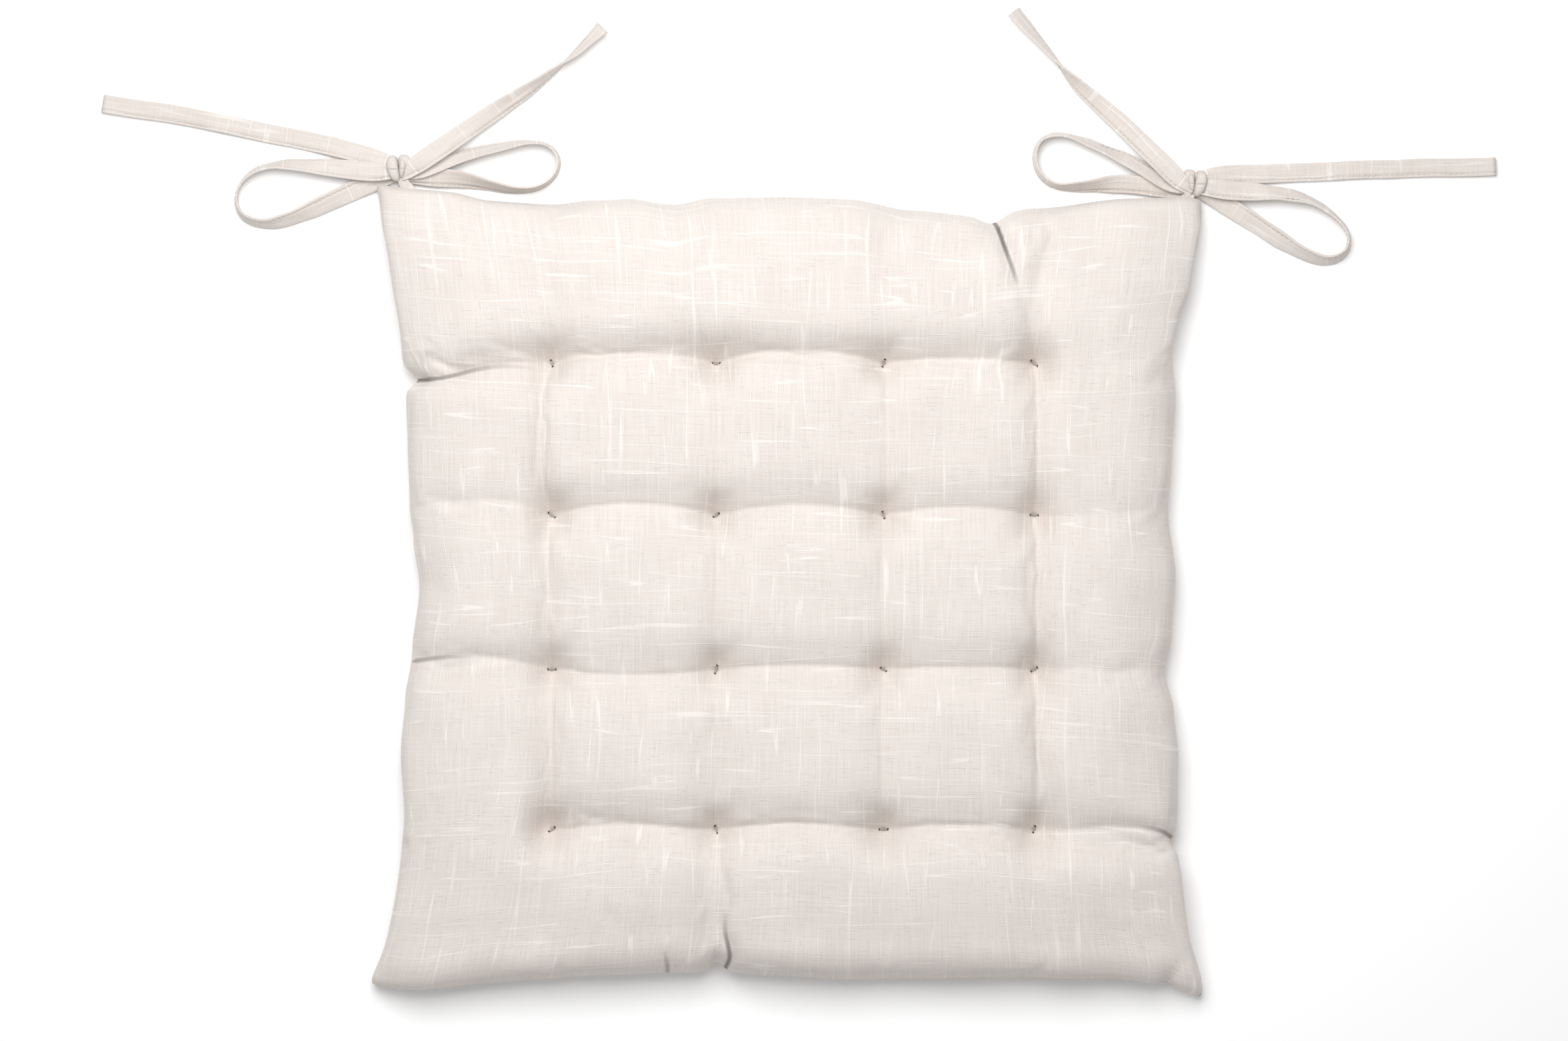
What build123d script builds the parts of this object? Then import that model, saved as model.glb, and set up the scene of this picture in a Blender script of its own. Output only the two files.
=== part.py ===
"""Tufted chair seat pad with two tie bows, as separate sub-parts in millimetres.

The origin is under the middle of the pad, where its filled cells rest on the seat.
+X is to the sitter's right, +Y is towards the chair's back, where the ties are, and +Z is up.
"""

from build123d import *
import math
import os

os.makedirs("parts", exist_ok=True)

# ---------------------------------------------------------------- driving dimensions
PAD_HEIGHT = 42.0
BACK_LEFT = (-196.0, 194.5)
BACK_RIGHT = (199.0, 187.5)
FRONT_LEFT = (-200.0, -190.0)
FRONT_RIGHT = (200.0, -195.0)
SAG_LEFT = 19.0
SAG_RIGHT = 14.0
SAG_BACK = 8.0
SAG_FRONT = 10.0
HALF_WIDTH = 195.0

SEAM_HEIGHT_SIDE = 13.0
SEAM_HEIGHT_CORNER = 6.5
COVER_THICKNESS = 0.8
SEAM_GAP = 0.05
FILLING_GAP = 0.4

TUFT_COLUMNS_X = (-111.0, -33.0, 46.4, 118.0)
TUFT_ROWS_Y = (108.4, 36.3, -37.0, -113.0)
OUTER_CELL = 76.0
TUFT_TOP_HEIGHT = 20.0
TUFT_BOTTOM_HEIGHT = 6.0
PRESSED_DEPTH = 1.5
PRESSED_INSIDE_HEIGHT = 0.9

THREAD_RADIUS = 0.7
COVER_HOLE_RADIUS = 1.0
FILLING_HOLE_RADIUS = 1.2
BAR_LENGTH = 3.6
BAR_WIDTH = 1.4
BAR_HEIGHT = 1.0
BAR_CLEARANCE = 0.3

ALLOWANCE_INSET = 2.2
ALLOWANCE_WIDTH = 7.5
ALLOWANCE_THICKNESS = 1.6
FILLING_INSET = 10.5
FILLING_EDGE = 3.0
FILLING_HEIGHT_CORNER = 9.5
SEAM_THREAD_INSET = 1.6
SEAM_THREAD_RADIUS = 0.25
CORNER_CLIP = 0.075
CLOSING_SHARE = 0.2

RIBBON_WIDTH = 8.6
RIBBON_THICKNESS = 1.2
STITCH_FROM_EDGE = 1.3
STITCH_WIDTH = 0.4
STITCH_HEIGHT = 0.15
KNOT_HALF_WIDTH = 5.25
KNOT_HALF_LENGTH = 6.75
ROOT_DEPTH = 7.0
ROOT_INWARDS = 5.0
ROOT_ABOVE_SEAM = 0.55
SLOT_GAP = 0.1
SLOT_OVERRUN = 2.5
NOTCH_GAP = 0.1
NOTCH_LENGTH = 5.0

# How closely the padded surfaces are described.
COVER_GRID = 72
COVER_TOLERANCE = 0.02
FILLING_GRID = 48
FILLING_TOLERANCE = 0.05
SIDE_POINTS = 24


# ---------------------------------------------------------------- the pad's shape
def between(start, end, share):
    """The point that lies this share of the way from start to end."""
    return [s + (e - s) * share for s, e in zip(start, end)]


def side_point(start, end, sag, inward, share):
    """A point on a side that is straight in its middle and flares out to its corners."""
    x, y = between(start, end, share)
    pull = sag * (1 - abs(2 * share - 1) ** 4)
    return x + inward[0] * pull, y + inward[1] * pull


def plan_point(a, b, inset):
    """The plan position of a share a of the way to the right and b of the way to the back."""
    front = side_point(FRONT_LEFT, FRONT_RIGHT, SAG_FRONT, (0, 1), a)
    back = side_point(BACK_LEFT, BACK_RIGHT, SAG_BACK, (0, -1), a)
    left = side_point(FRONT_LEFT, BACK_LEFT, SAG_LEFT, (1, 0), b)
    right = side_point(FRONT_RIGHT, BACK_RIGHT, SAG_RIGHT, (-1, 0), b)
    shrink = 1 - inset / HALF_WIDTH
    place = []
    for i in range(2):
        straight_front = FRONT_LEFT[i] * (1 - a) + FRONT_RIGHT[i] * a
        straight_back = BACK_LEFT[i] * (1 - a) + BACK_RIGHT[i] * a
        corners = straight_front * (1 - b) + straight_back * b
        sides = (1 - b) * front[i] + b * back[i] + (1 - a) * left[i] + a * right[i]
        place.append((sides - corners) * shrink)
    return place


def seam_height(a, b, at_corner=SEAM_HEIGHT_CORNER):
    """The height of the seam, which drops towards the four thin corners."""
    corner = ((2 * a - 1) * (2 * b - 1)) ** 4
    return SEAM_HEIGHT_SIDE + (at_corner - SEAM_HEIGHT_SIDE) * corner


def fullness(a, b):
    """How far the cover has risen from the seam: 0 at the edge and nearly 1 inside."""
    across = 1 - abs(2 * a - 1) ** 6
    along = 1 - abs(2 * b - 1) ** 6
    return math.sqrt(max(across * along, 0.0))


def rise(place, tuft_lines):
    """0 on a line of tufts and 1 midway between two lines, and from there out to the edge."""
    lines = sorted(tuft_lines)
    lines = [lines[0] - OUTER_CELL] + lines + [lines[-1] + OUTER_CELL]
    place = max(lines[0] + OUTER_CELL / 2, min(lines[-1] - OUTER_CELL / 2, place))
    for low, high in zip(lines, lines[1:]):
        if place <= high:
            break
    return math.sin(math.pi * (place - low) / (high - low)) ** 2


def crown(x, y):
    """0 at a tuft, about half on the valley between two tufts, and 1 on top of a cell."""
    return 0.5 * (rise(x, TUFT_COLUMNS_X) + rise(y, TUFT_ROWS_Y))


def top_height(x, y):
    """The height of the top cover's outside away from the edge."""
    rounded = 1 - (1 - crown(x, y)) ** 1.4
    return TUFT_TOP_HEIGHT + (PAD_HEIGHT - TUFT_TOP_HEIGHT) * rounded


def bottom_height(x, y):
    """The height of the bottom cover's outside, which the resting plane presses flat at z = 0."""
    rounded = 1 - (1 - crown(x, y)) ** 2
    return TUFT_BOTTOM_HEIGHT - (TUFT_BOTTOM_HEIGHT + PRESSED_DEPTH) * rounded


def bottom_inside_height(x, y):
    """The height of the bottom cover's inside."""
    rounded = 1 - (1 - crown(x, y)) ** 2.5
    at_tuft = TUFT_BOTTOM_HEIGHT + COVER_THICKNESS
    return at_tuft - (at_tuft - PRESSED_INSIDE_HEIGHT) * rounded


def skin(height, inset, shift, seam_shift, at_corner=SEAM_HEIGHT_CORNER, grid=COVER_GRID,
         tolerance=COVER_TOLERANCE):
    """One padded face: its height function, moved in by inset and up by shift."""
    rows = []
    for i in range(grid + 1):
        a = 0.5 + 0.5 * math.sin(math.pi * (i / grid - 0.5))
        row = []
        for j in range(grid + 1):
            b = 0.5 + 0.5 * math.sin(math.pi * (j / grid - 0.5))
            x, y = plan_point(a, b, inset)
            seam = seam_height(a, b, at_corner)
            z = seam + seam_shift + fullness(a, b) * (height(x, y) + shift - seam - seam_shift)
            row.append(Vector(x, y, z))
        rows.append(row)
    return Face.make_surface_from_array_of_points(rows, tol=tolerance, min_deg=3, max_deg=5)


def four_sides(face):
    """The face's four edges, in the order left, right, front, back."""
    by_x = face.edges().sort_by(Axis.X)
    by_y = face.edges().sort_by(Axis.Y)
    return by_x[0], by_x[-1], by_y[0], by_y[-1]


def close_between(upper, lower):
    """The closed solid between two faces whose four sides run beside each other."""
    walls = []
    for edge_up, edge_down in zip(four_sides(upper), four_sides(lower)):
        walls.append(Face.make_surface_from_curves(edge_up, edge_down))
    return Solid(Shell([upper, lower] + walls))


# ---------------------------------------------------------------- seam strips
SIDES = {
    "front": lambda t, inset: (plan_point(t, 0, inset), seam_height(t, 0)),
    "right": lambda t, inset: (plan_point(1, t, inset), seam_height(1, t)),
    "back": lambda t, inset: (plan_point(t, 1, inset), seam_height(t, 1)),
    "left": lambda t, inset: (plan_point(0, t, inset), seam_height(0, t)),
}


def side_curve(side, start, end, inset, lift):
    """A smooth curve beside one side of the pad, from share start to share end of it."""
    points = []
    for i in range(SIDE_POINTS + 1):
        (x, y), z = SIDES[side](start + (end - start) * i / SIDE_POINTS, inset)
        points.append((x, y, z + lift))
    return Spline(*points)


def side_strip(side, start, end, inner, outer, half_thickness):
    """A flat strip along a side, between two insets."""
    curves = []
    for inset, lift in (
        (inner, half_thickness),
        (outer, half_thickness),
        (outer, -half_thickness),
        (inner, -half_thickness),
    ):
        curves.append(side_curve(side, start, end, inset, lift).edge())
    faces = []
    for i in range(4):
        faces.append(Face.make_surface_from_curves(curves[i], curves[(i + 1) % 4]))
    for share in (0, 1):
        corners = [curve @ share for curve in curves]
        faces.append(Face(Polyline(*corners, close=True)))
    return Solid(Shell(faces))


def seam_allowance():
    """The turned-in edges of both covers, clipped at the corners, one strip per side."""
    strips = []
    for side in SIDES:
        inner = ALLOWANCE_INSET + ALLOWANCE_WIDTH
        half = ALLOWANCE_THICKNESS / 2
        strips.append(side_strip(side, CORNER_CLIP, 1 - CORNER_CLIP, inner, ALLOWANCE_INSET, half))
    return strips


def seam_stitch(side, start, end):
    """The lockstitch that joins the two covers along a stretch of one side."""
    inner = SEAM_THREAD_INSET + SEAM_THREAD_RADIUS
    outer = SEAM_THREAD_INSET - SEAM_THREAD_RADIUS
    return side_strip(side, start, end, inner, outer, SEAM_THREAD_RADIUS)


def seam_thread():
    """The machine seam round the pad, with a gap at the back that is closed last."""
    closing_start = 0.5 - CLOSING_SHARE
    closing_end = 0.5 + CLOSING_SHARE
    pieces = [seam_stitch(side, CORNER_CLIP, 1 - CORNER_CLIP) for side in ("front", "left", "right")]
    pieces.append(seam_stitch("back", CORNER_CLIP, closing_start - 0.005))
    pieces.append(seam_stitch("back", closing_end + 0.005, 1 - CORNER_CLIP))
    return pieces


# ---------------------------------------------------------------- tufts
def share_at(x, y):
    """The shares a and b of a plan position well inside the pad."""
    a, b = 0.5, 0.5
    for _ in range(30):
        here = plan_point(a, b, 0)
        a += (x - here[0]) / (2 * HALF_WIDTH)
        b += (y - here[1]) / (2 * HALF_WIDTH)
    return a, b


def cover_height(height, x, y):
    """The height of a cover's outside at a plan position."""
    a, b = share_at(x, y)
    seam = seam_height(a, b)
    return seam + fullness(a, b) * (height(x, y) - seam)


def tuft_places():
    """Row and column of each tuft, counted from the back left, with its plan position."""
    for row, y in enumerate(TUFT_ROWS_Y, 1):
        for column, x in enumerate(TUFT_COLUMNS_X, 1):
            yield row, column, x, y


def tuft(row, column, x, y):
    """A thread pulled through the pad, with a short bar stitch on each cover."""
    top = cover_height(top_height, x, y) + BAR_CLEARANCE
    bottom = cover_height(bottom_height, x, y) - BAR_CLEARANCE
    bar = fillet(Box(BAR_LENGTH, BAR_WIDTH, BAR_HEIGHT).edges().filter_by(Axis.Z), BAR_WIDTH * 0.45)
    bar = Rot(0, 0, 37 * row + 71 * column) * bar
    thread = Cylinder(THREAD_RADIUS, top - bottom, align=(Align.CENTER, Align.CENTER, Align.MIN))
    upper = Pos(0, 0, top + BAR_HEIGHT / 2) * bar
    lower = Pos(0, 0, bottom - BAR_HEIGHT / 2) * bar
    return Pos(x, y, 0) * (Pos(0, 0, bottom) * thread + upper + lower)


def thread_holes(radius):
    """The sixteen stitch holes, which run right through a cover or the filling."""
    return [Pos(x, y, 0) * Cylinder(radius, 3 * PAD_HEIGHT) for _, _, x, y in tuft_places()]


# ---------------------------------------------------------------- ribbons of the two bows
# Each route is a list of plan points from the knot outwards. A tail starts on its swing axis.
LEFT_KNOT = (-184.4, 201.7)
RIGHT_KNOT = (195.0, 194.6)
TAIL_ROUTES = {
    "left_outer_tail": [
        (-192.0, 205.2), (-204.0, 209.3), (-218.0, 213.0), (-233.0, 216.4), (-249.0, 219.2),
        (-265.0, 222.8), (-281.0, 226.0), (-297.0, 229.0), (-312.0, 230.8), (-326.8, 233.3),
    ],
    "left_inner_tail": [
        (-176.5, 204.0), (-168.0, 209.0), (-157.5, 216.3), (-146.0, 224.6), (-133.5, 233.2),
        (-121.0, 241.2), (-110.5, 249.2), (-100.5, 257.0), (-93.0, 264.6), (-87.6, 269.6),
    ],
    "right_outer_tail": [
        (202.6, 198.1), (213.0, 199.3), (226.0, 199.4), (241.0, 200.2), (257.0, 200.6),
        (273.0, 201.7), (290.0, 201.9), (307.0, 202.7), (324.0, 202.6), (339.8, 203.2),
    ],
    "right_inner_tail": [
        (187.1, 196.9), (180.5, 203.3), (171.5, 212.0), (162.0, 221.8), (152.0, 231.0),
        (142.0, 239.8), (132.9, 249.2), (125.2, 258.8), (116.5, 268.6), (109.1, 277.2),
    ],
}
LOOP_ROUTES = {
    "left_outer_loop": [
        (-187.2, 199.7), (-193.0, 199.6), (-201.0, 200.1), (-213.0, 201.6), (-227.0, 202.8),
        (-243.0, 204.0), (-256.0, 200.5), (-263.5, 190.0), (-261.0, 179.0), (-249.5, 175.2),
        (-238.0, 178.2), (-226.0, 183.0), (-214.0, 188.4), (-203.0, 193.6), (-194.0, 197.0),
        (-186.6, 197.7),
    ],
    "left_inner_loop": [
        (-181.5, 198.3), (-175.5, 198.2), (-168.0, 200.6), (-159.0, 205.0), (-148.5, 208.8),
        (-137.0, 212.0), (-124.5, 214.6), (-113.5, 214.0), (-107.2, 206.8), (-109.6, 198.0),
        (-118.5, 194.8), (-130.0, 195.0), (-142.0, 195.7), (-155.0, 196.7), (-167.0, 196.6),
        (-176.0, 196.1), (-183.0, 196.3),
    ],
    "right_outer_loop": [
        (198.2, 193.2), (204.0, 192.5), (213.0, 191.0), (226.0, 190.4), (239.0, 189.4),
        (251.0, 187.0), (262.0, 180.2), (269.8, 171.0), (268.5, 161.5), (259.5, 157.3),
        (248.0, 161.2), (236.5, 168.3), (225.5, 175.6), (214.5, 182.4), (205.5, 188.0),
        (197.4, 190.9),
    ],
    "right_inner_loop": [
        (190.7, 191.4), (185.0, 191.6), (178.0, 195.0), (171.0, 199.8), (162.5, 205.2),
        (152.0, 210.8), (142.0, 215.5), (130.5, 218.8), (121.5, 216.0), (118.2, 207.5),
        (121.0, 198.8), (128.8, 193.9), (140.0, 192.8), (153.0, 193.4), (165.0, 192.2),
        (177.0, 189.8), (185.0, 189.1), (191.8, 189.5),
    ],
}
# The side of a loop's route that faces outwards: 1 is the left of the way it runs, -1 the right.
OUTWARD = {
    "left_outer_loop": -1,
    "left_inner_loop": 1,
    "right_outer_loop": 1,
    "right_inner_loop": -1,
}


def arc_radii(route):
    """The largest radius that each corner of a route has room for."""
    radii = []
    for before, corner, after in zip(route, route[1:], route[2:]):
        run_in = Vector(*corner) - Vector(*before)
        run_out = Vector(*after) - Vector(*corner)
        turn = math.radians(run_in.get_angle(run_out))
        radii.append(0.45 * min(run_in.length, run_out.length) / math.tan(turn / 2))
    return radii


def route_wire(route, height):
    """A route as straight runs joined by tangent arcs, all at one height."""
    points = [(x, y, height) for x, y in route]
    return FilletPolyline(*points, radius=arc_radii(route))


def strip(route, height, across, up, offset, lift):
    """A ribbon or thread of a rectangular section swept along a route.

    offset is how far its middle lies to the left of the route, and lift how far above it.
    """
    wire = route_wire(route, height)
    ahead = wire % 0
    section_plane = Plane(origin=wire @ 0, x_dir=Vector(0, 0, 1).cross(ahead), z_dir=ahead)
    section = section_plane * Pos(offset, lift) * Rectangle(across, up)
    return sweep(section, path=wire)


def tail(name):
    """A free ribbon end that lies flat, with a round root that turns on its swing axis."""
    route = TAIL_ROUTES[name]
    body = strip(route, RIBBON_THICKNESS / 2, RIBBON_WIDTH, RIBBON_THICKNESS, 0, 0)
    turn = Cylinder(RIBBON_WIDTH / 2, RIBBON_THICKNESS, align=(Align.CENTER, Align.CENTER, Align.MIN))
    return body + Pos(*route[0]) * turn


def tail_stitch(name):
    """The line of topstitching along the lower edge of a tail."""
    side = -1 if name.startswith("right_outer") or name == "left_inner_tail" else 1
    offset = side * (RIBBON_WIDTH / 2 - STITCH_FROM_EDGE)
    lift = RIBBON_THICKNESS / 2 + STITCH_HEIGHT / 2
    return strip(TAIL_ROUTES[name], RIBBON_THICKNESS / 2, STITCH_WIDTH, STITCH_HEIGHT, offset, lift)


def loop(name):
    """A bow loop: the ribbon stands on its edge and both ends go into the knot."""
    return strip(LOOP_ROUTES[name], RIBBON_WIDTH / 2, RIBBON_THICKNESS, RIBBON_WIDTH, 0, 0)


def loop_stitch(name):
    """The line of topstitching on the outside of a loop, near its lower edge."""
    offset = OUTWARD[name] * (RIBBON_THICKNESS / 2 + STITCH_HEIGHT / 2)
    lift = STITCH_FROM_EDGE - RIBBON_WIDTH / 2
    return strip(LOOP_ROUTES[name], RIBBON_WIDTH / 2, STITCH_HEIGHT, STITCH_WIDTH, offset, lift)


def loop_notch(route):
    """The room that one end of a loop takes in its knot, from the end's place outwards."""
    start = Vector(*route[0])
    ahead = (Vector(*route[1]) - start).normalized()
    length = NOTCH_LENGTH + NOTCH_GAP
    width = RIBBON_THICKNESS + 2 * (STITCH_HEIGHT + NOTCH_GAP)
    height = RIBBON_WIDTH + 2 * NOTCH_GAP
    middle = start + ahead * (length / 2 - NOTCH_GAP)
    turn = math.degrees(math.atan2(ahead.Y, ahead.X))
    return Pos(middle.X, middle.Y, RIBBON_WIDTH / 2) * Rot(0, 0, turn) * Box(length, width, height)


def knot(place, loop_names):
    """The tied knot: a rounded body, notched where the loops come out of it."""
    profile = Ellipse(KNOT_HALF_WIDTH, KNOT_HALF_LENGTH)
    half = profile & Pos(KNOT_HALF_WIDTH, 0) * Rectangle(2 * KNOT_HALF_WIDTH, 3 * KNOT_HALF_LENGTH)
    body = Pos(place[0], place[1], KNOT_HALF_WIDTH) * revolve(half, Axis.Y)
    for name in loop_names:
        body = body - loop_notch(LOOP_ROUTES[name])
        body = body - loop_notch(LOOP_ROUTES[name][::-1])
    return body


def hinge_place(knot_place):
    """Where a bow hangs from the back seam: on the pad's edge, a little inwards of its knot."""
    x = knot_place[0] - math.copysign(ROOT_INWARDS, knot_place[0])
    a = (x - BACK_LEFT[0]) / (BACK_RIGHT[0] - BACK_LEFT[0])
    _, y = plan_point(a, 1, 0)
    return x, y, seam_height(a, 1) + ROOT_ABOVE_SEAM + RIBBON_THICKNESS / 2


def tie_root(knot_place):
    """The folded middle of a tie ribbon, caught in the seam, with a round end at the hinge."""
    x, y, z = hinge_place(knot_place)
    plate = Pos(x, y - ROOT_DEPTH / 2, z) * Box(RIBBON_WIDTH, ROOT_DEPTH, RIBBON_THICKNESS)
    end = Pos(x, y, z) * Rot(0, 90, 0) * Cylinder(RIBBON_THICKNESS / 2, RIBBON_WIDTH)
    return plate + end


def seam_slot(knot_place):
    """The room that a tie root takes in the top cover's edge, open to the seam below it."""
    x, y, z = hinge_place(knot_place)
    width = RIBBON_WIDTH + 2 * SLOT_GAP
    depth = ROOT_DEPTH + SLOT_GAP + SLOT_OVERRUN
    top = z + RIBBON_THICKNESS / 2 + SLOT_GAP
    slot = Box(width, depth, SLOT_OVERRUN, align=(Align.CENTER, Align.MAX, Align.MAX))
    return Pos(x, y + SLOT_OVERRUN, top) * slot


# ---------------------------------------------------------------- the whole pad
def covers_and_filling():
    """The two fabric covers and the filling between them."""
    slots = [seam_slot(LEFT_KNOT), seam_slot(RIGHT_KNOT)]
    top = close_between(
        skin(top_height, 0, 0, SEAM_GAP),
        skin(top_height, COVER_THICKNESS, -COVER_THICKNESS, SEAM_GAP),
    )
    bottom = close_between(
        skin(bottom_inside_height, COVER_THICKNESS, 0, -SEAM_GAP),
        skin(bottom_height, 0, 0, -SEAM_GAP),
    )
    coarser = {"at_corner": FILLING_HEIGHT_CORNER, "grid": FILLING_GRID, "tolerance": FILLING_TOLERANCE}
    filling = close_between(
        skin(top_height, FILLING_INSET, -COVER_THICKNESS - FILLING_GAP, FILLING_EDGE / 2, **coarser),
        skin(bottom_inside_height, FILLING_INSET, FILLING_GAP, -FILLING_EDGE / 2, **coarser),
    )
    below = Box(3 * HALF_WIDTH, 3 * HALF_WIDTH, PAD_HEIGHT, align=(Align.CENTER, Align.CENTER, Align.MAX))
    bottom = bottom - below
    for slot in slots:
        top = top - slot
    for hole in thread_holes(COVER_HOLE_RADIUS):
        top = top - hole
        bottom = bottom - hole
    for hole in thread_holes(FILLING_HOLE_RADIUS):
        filling = filling - hole
    return top, bottom, filling


def build():
    """Every node of the pad by name."""
    nodes = {}
    nodes["top_cover"], nodes["bottom_cover"], nodes["filling"] = covers_and_filling()
    nodes["seam_allowance"] = Compound(children=seam_allowance())
    nodes["seam_thread"] = Compound(children=seam_thread())
    nodes["closing_stitch"] = seam_stitch("back", 0.5 - CLOSING_SHARE, 0.5 + CLOSING_SHARE)
    for row, column, x, y in tuft_places():
        nodes[f"tuft_{row}_{column}"] = tuft(row, column, x, y)
    for side, place in (("left", LEFT_KNOT), ("right", RIGHT_KNOT)):
        nodes[f"{side}_tie_root"] = tie_root(place)
        loop_names = [f"{side}_outer_loop", f"{side}_inner_loop"]
        nodes[f"{side}_knot"] = knot(place, loop_names)
        for name in loop_names:
            nodes[name] = loop(name)
            nodes[f"{name}_stitch"] = loop_stitch(name)
        for piece in ("outer_tail", "inner_tail"):
            name = f"{side}_{piece}"
            nodes[name] = tail(name)
            nodes[f"{name}_stitch"] = tail_stitch(name)
    return nodes


def report_routes(nodes):
    """Prints each ribbon's arcs and whether its volume is its section times its length."""
    for name, route in {**TAIL_ROUTES, **LOOP_ROUTES}.items():
        length = route_wire(route, 0).length
        section = RIBBON_WIDTH * RIBBON_THICKNESS
        extra = math.pi * (RIBBON_WIDTH / 2) ** 2 / 2 * RIBBON_THICKNESS if name in TAIL_ROUTES else 0
        expected = length * section + extra
        radii = " ".join(f"{radius:.1f}" for radius in arc_radii(route))
        print(f"{name} length {length:.1f} volume {nodes[name].volume / expected:.4f} radii {radii}")


if __name__ == "__main__":
    made = build()
    report_routes(made)
    for side, place in (("left", LEFT_KNOT), ("right", RIGHT_KNOT)):
        print(side, "hinge", [round(value, 3) for value in hinge_place(place)])
    for node_name, shape in made.items():
        export_step(shape, f"parts/{node_name}.step")
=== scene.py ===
"""The looks of the tufted chair seat pad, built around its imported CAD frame. Metres, +Z up."""

import math

import bpy
import numpy as np
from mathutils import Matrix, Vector
from mathutils.bvhtree import BVHTree


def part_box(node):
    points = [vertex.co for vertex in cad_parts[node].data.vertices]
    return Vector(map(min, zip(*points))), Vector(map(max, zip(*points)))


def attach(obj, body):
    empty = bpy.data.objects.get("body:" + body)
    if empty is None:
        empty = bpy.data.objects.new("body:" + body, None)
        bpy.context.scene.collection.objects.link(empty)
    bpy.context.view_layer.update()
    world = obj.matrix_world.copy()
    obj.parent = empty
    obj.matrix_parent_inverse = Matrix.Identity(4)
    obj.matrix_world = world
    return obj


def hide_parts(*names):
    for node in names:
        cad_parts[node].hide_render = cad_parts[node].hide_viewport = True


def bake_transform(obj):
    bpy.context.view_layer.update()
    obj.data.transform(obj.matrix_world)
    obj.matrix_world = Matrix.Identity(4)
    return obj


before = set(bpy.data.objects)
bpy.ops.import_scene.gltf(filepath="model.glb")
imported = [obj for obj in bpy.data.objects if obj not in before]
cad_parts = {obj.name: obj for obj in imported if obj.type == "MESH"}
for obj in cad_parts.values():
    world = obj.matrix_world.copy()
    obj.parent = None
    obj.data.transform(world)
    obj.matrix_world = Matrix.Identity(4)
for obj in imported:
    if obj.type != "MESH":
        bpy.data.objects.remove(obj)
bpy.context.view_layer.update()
MM = 0.001


# ---------------------------------------------------------------- materials
class Graph:
    """A material's node tree with short ways to add nodes. Lengths in it are millimetres."""

    def __init__(self, name):
        self.material = bpy.data.materials.new(name)
        self.material.use_nodes = True
        self.tree = self.material.node_tree
        self.shader = self.tree.nodes["Principled BSDF"]

    def node(self, kind, **settings):
        made = self.tree.nodes.new("ShaderNode" + kind)
        for key, value in settings.items():
            setattr(made, key, value)
        return made

    def put(self, socket, value):
        if isinstance(value, bpy.types.NodeSocket):
            self.tree.links.new(value, socket)
        else:
            socket.default_value = value

    def math(self, operation, a, b=0.0, c=0.0):
        made = self.node("Math", operation=operation)
        for socket, value in zip(made.inputs, (a, b, c)):
            self.put(socket, value)
        return made.outputs[0]

    def add(self, *values):
        total = values[0]
        for value in values[1:]:
            total = self.math("ADD", total, value)
        return total

    def times(self, a, b):
        return self.math("MULTIPLY", a, b)

    def fade(self, value, start, end):
        """0 where value is start and 1 where it is end, smooth between them."""
        made = self.node("MapRange", interpolation_type="SMOOTHSTEP")
        for socket, number in zip(made.inputs, (value, start, end, 0.0, 1.0)):
            self.put(socket, number)
        return made.outputs[0]

    def noise(self, place, scale, detail=2.0):
        """Smooth noise about 0, from about -0.5 to 0.5."""
        made = self.node("TexNoise")
        self.put(made.inputs["Vector"], place)
        made.inputs["Scale"].default_value = scale
        made.inputs["Detail"].default_value = detail
        return self.math("SUBTRACT", made.outputs["Fac"], 0.5)

    def stretch(self, place, x, y):
        """The place with its coordinates multiplied."""
        made = self.node("VectorMath", operation="MULTIPLY")
        self.put(made.inputs[0], place)
        made.inputs[1].default_value = (x, y, 1.0)
        return made.outputs[0]

    def wave(self, place, heading, period, shift=0.0):
        """A sine wave from -1 to 1 that runs along a heading."""
        made = self.node("VectorMath", operation="DOT_PRODUCT")
        self.put(made.inputs[0], place)
        made.inputs[1].default_value = (*(h * 2 * math.pi / period for h in heading), 0.0)
        return self.math("SINE", self.add(made.outputs["Value"], shift))

    def mix(self, share, a, b):
        made = self.node("Mix", data_type="RGBA")
        self.put(made.inputs["Factor"], share)
        self.put(made.inputs[6], a)
        self.put(made.inputs[7], b)
        return made.outputs[2]

    def bump(self, height, depth):
        """A normal from a height in millimetres."""
        made = self.node("Bump")
        made.inputs["Distance"].default_value = depth * MM
        self.put(made.inputs["Height"], height)
        self.tree.links.new(made.outputs[0], self.shader.inputs["Normal"])

    def finish(self, colour, roughness, sheen=0.0):
        self.put(self.shader.inputs["Base Color"], colour)
        self.shader.inputs["Roughness"].default_value = roughness
        self.shader.inputs["Sheen Weight"].default_value = sheen
        self.shader.inputs["Specular IOR Level"].default_value = 0.2
        return self.material


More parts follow.
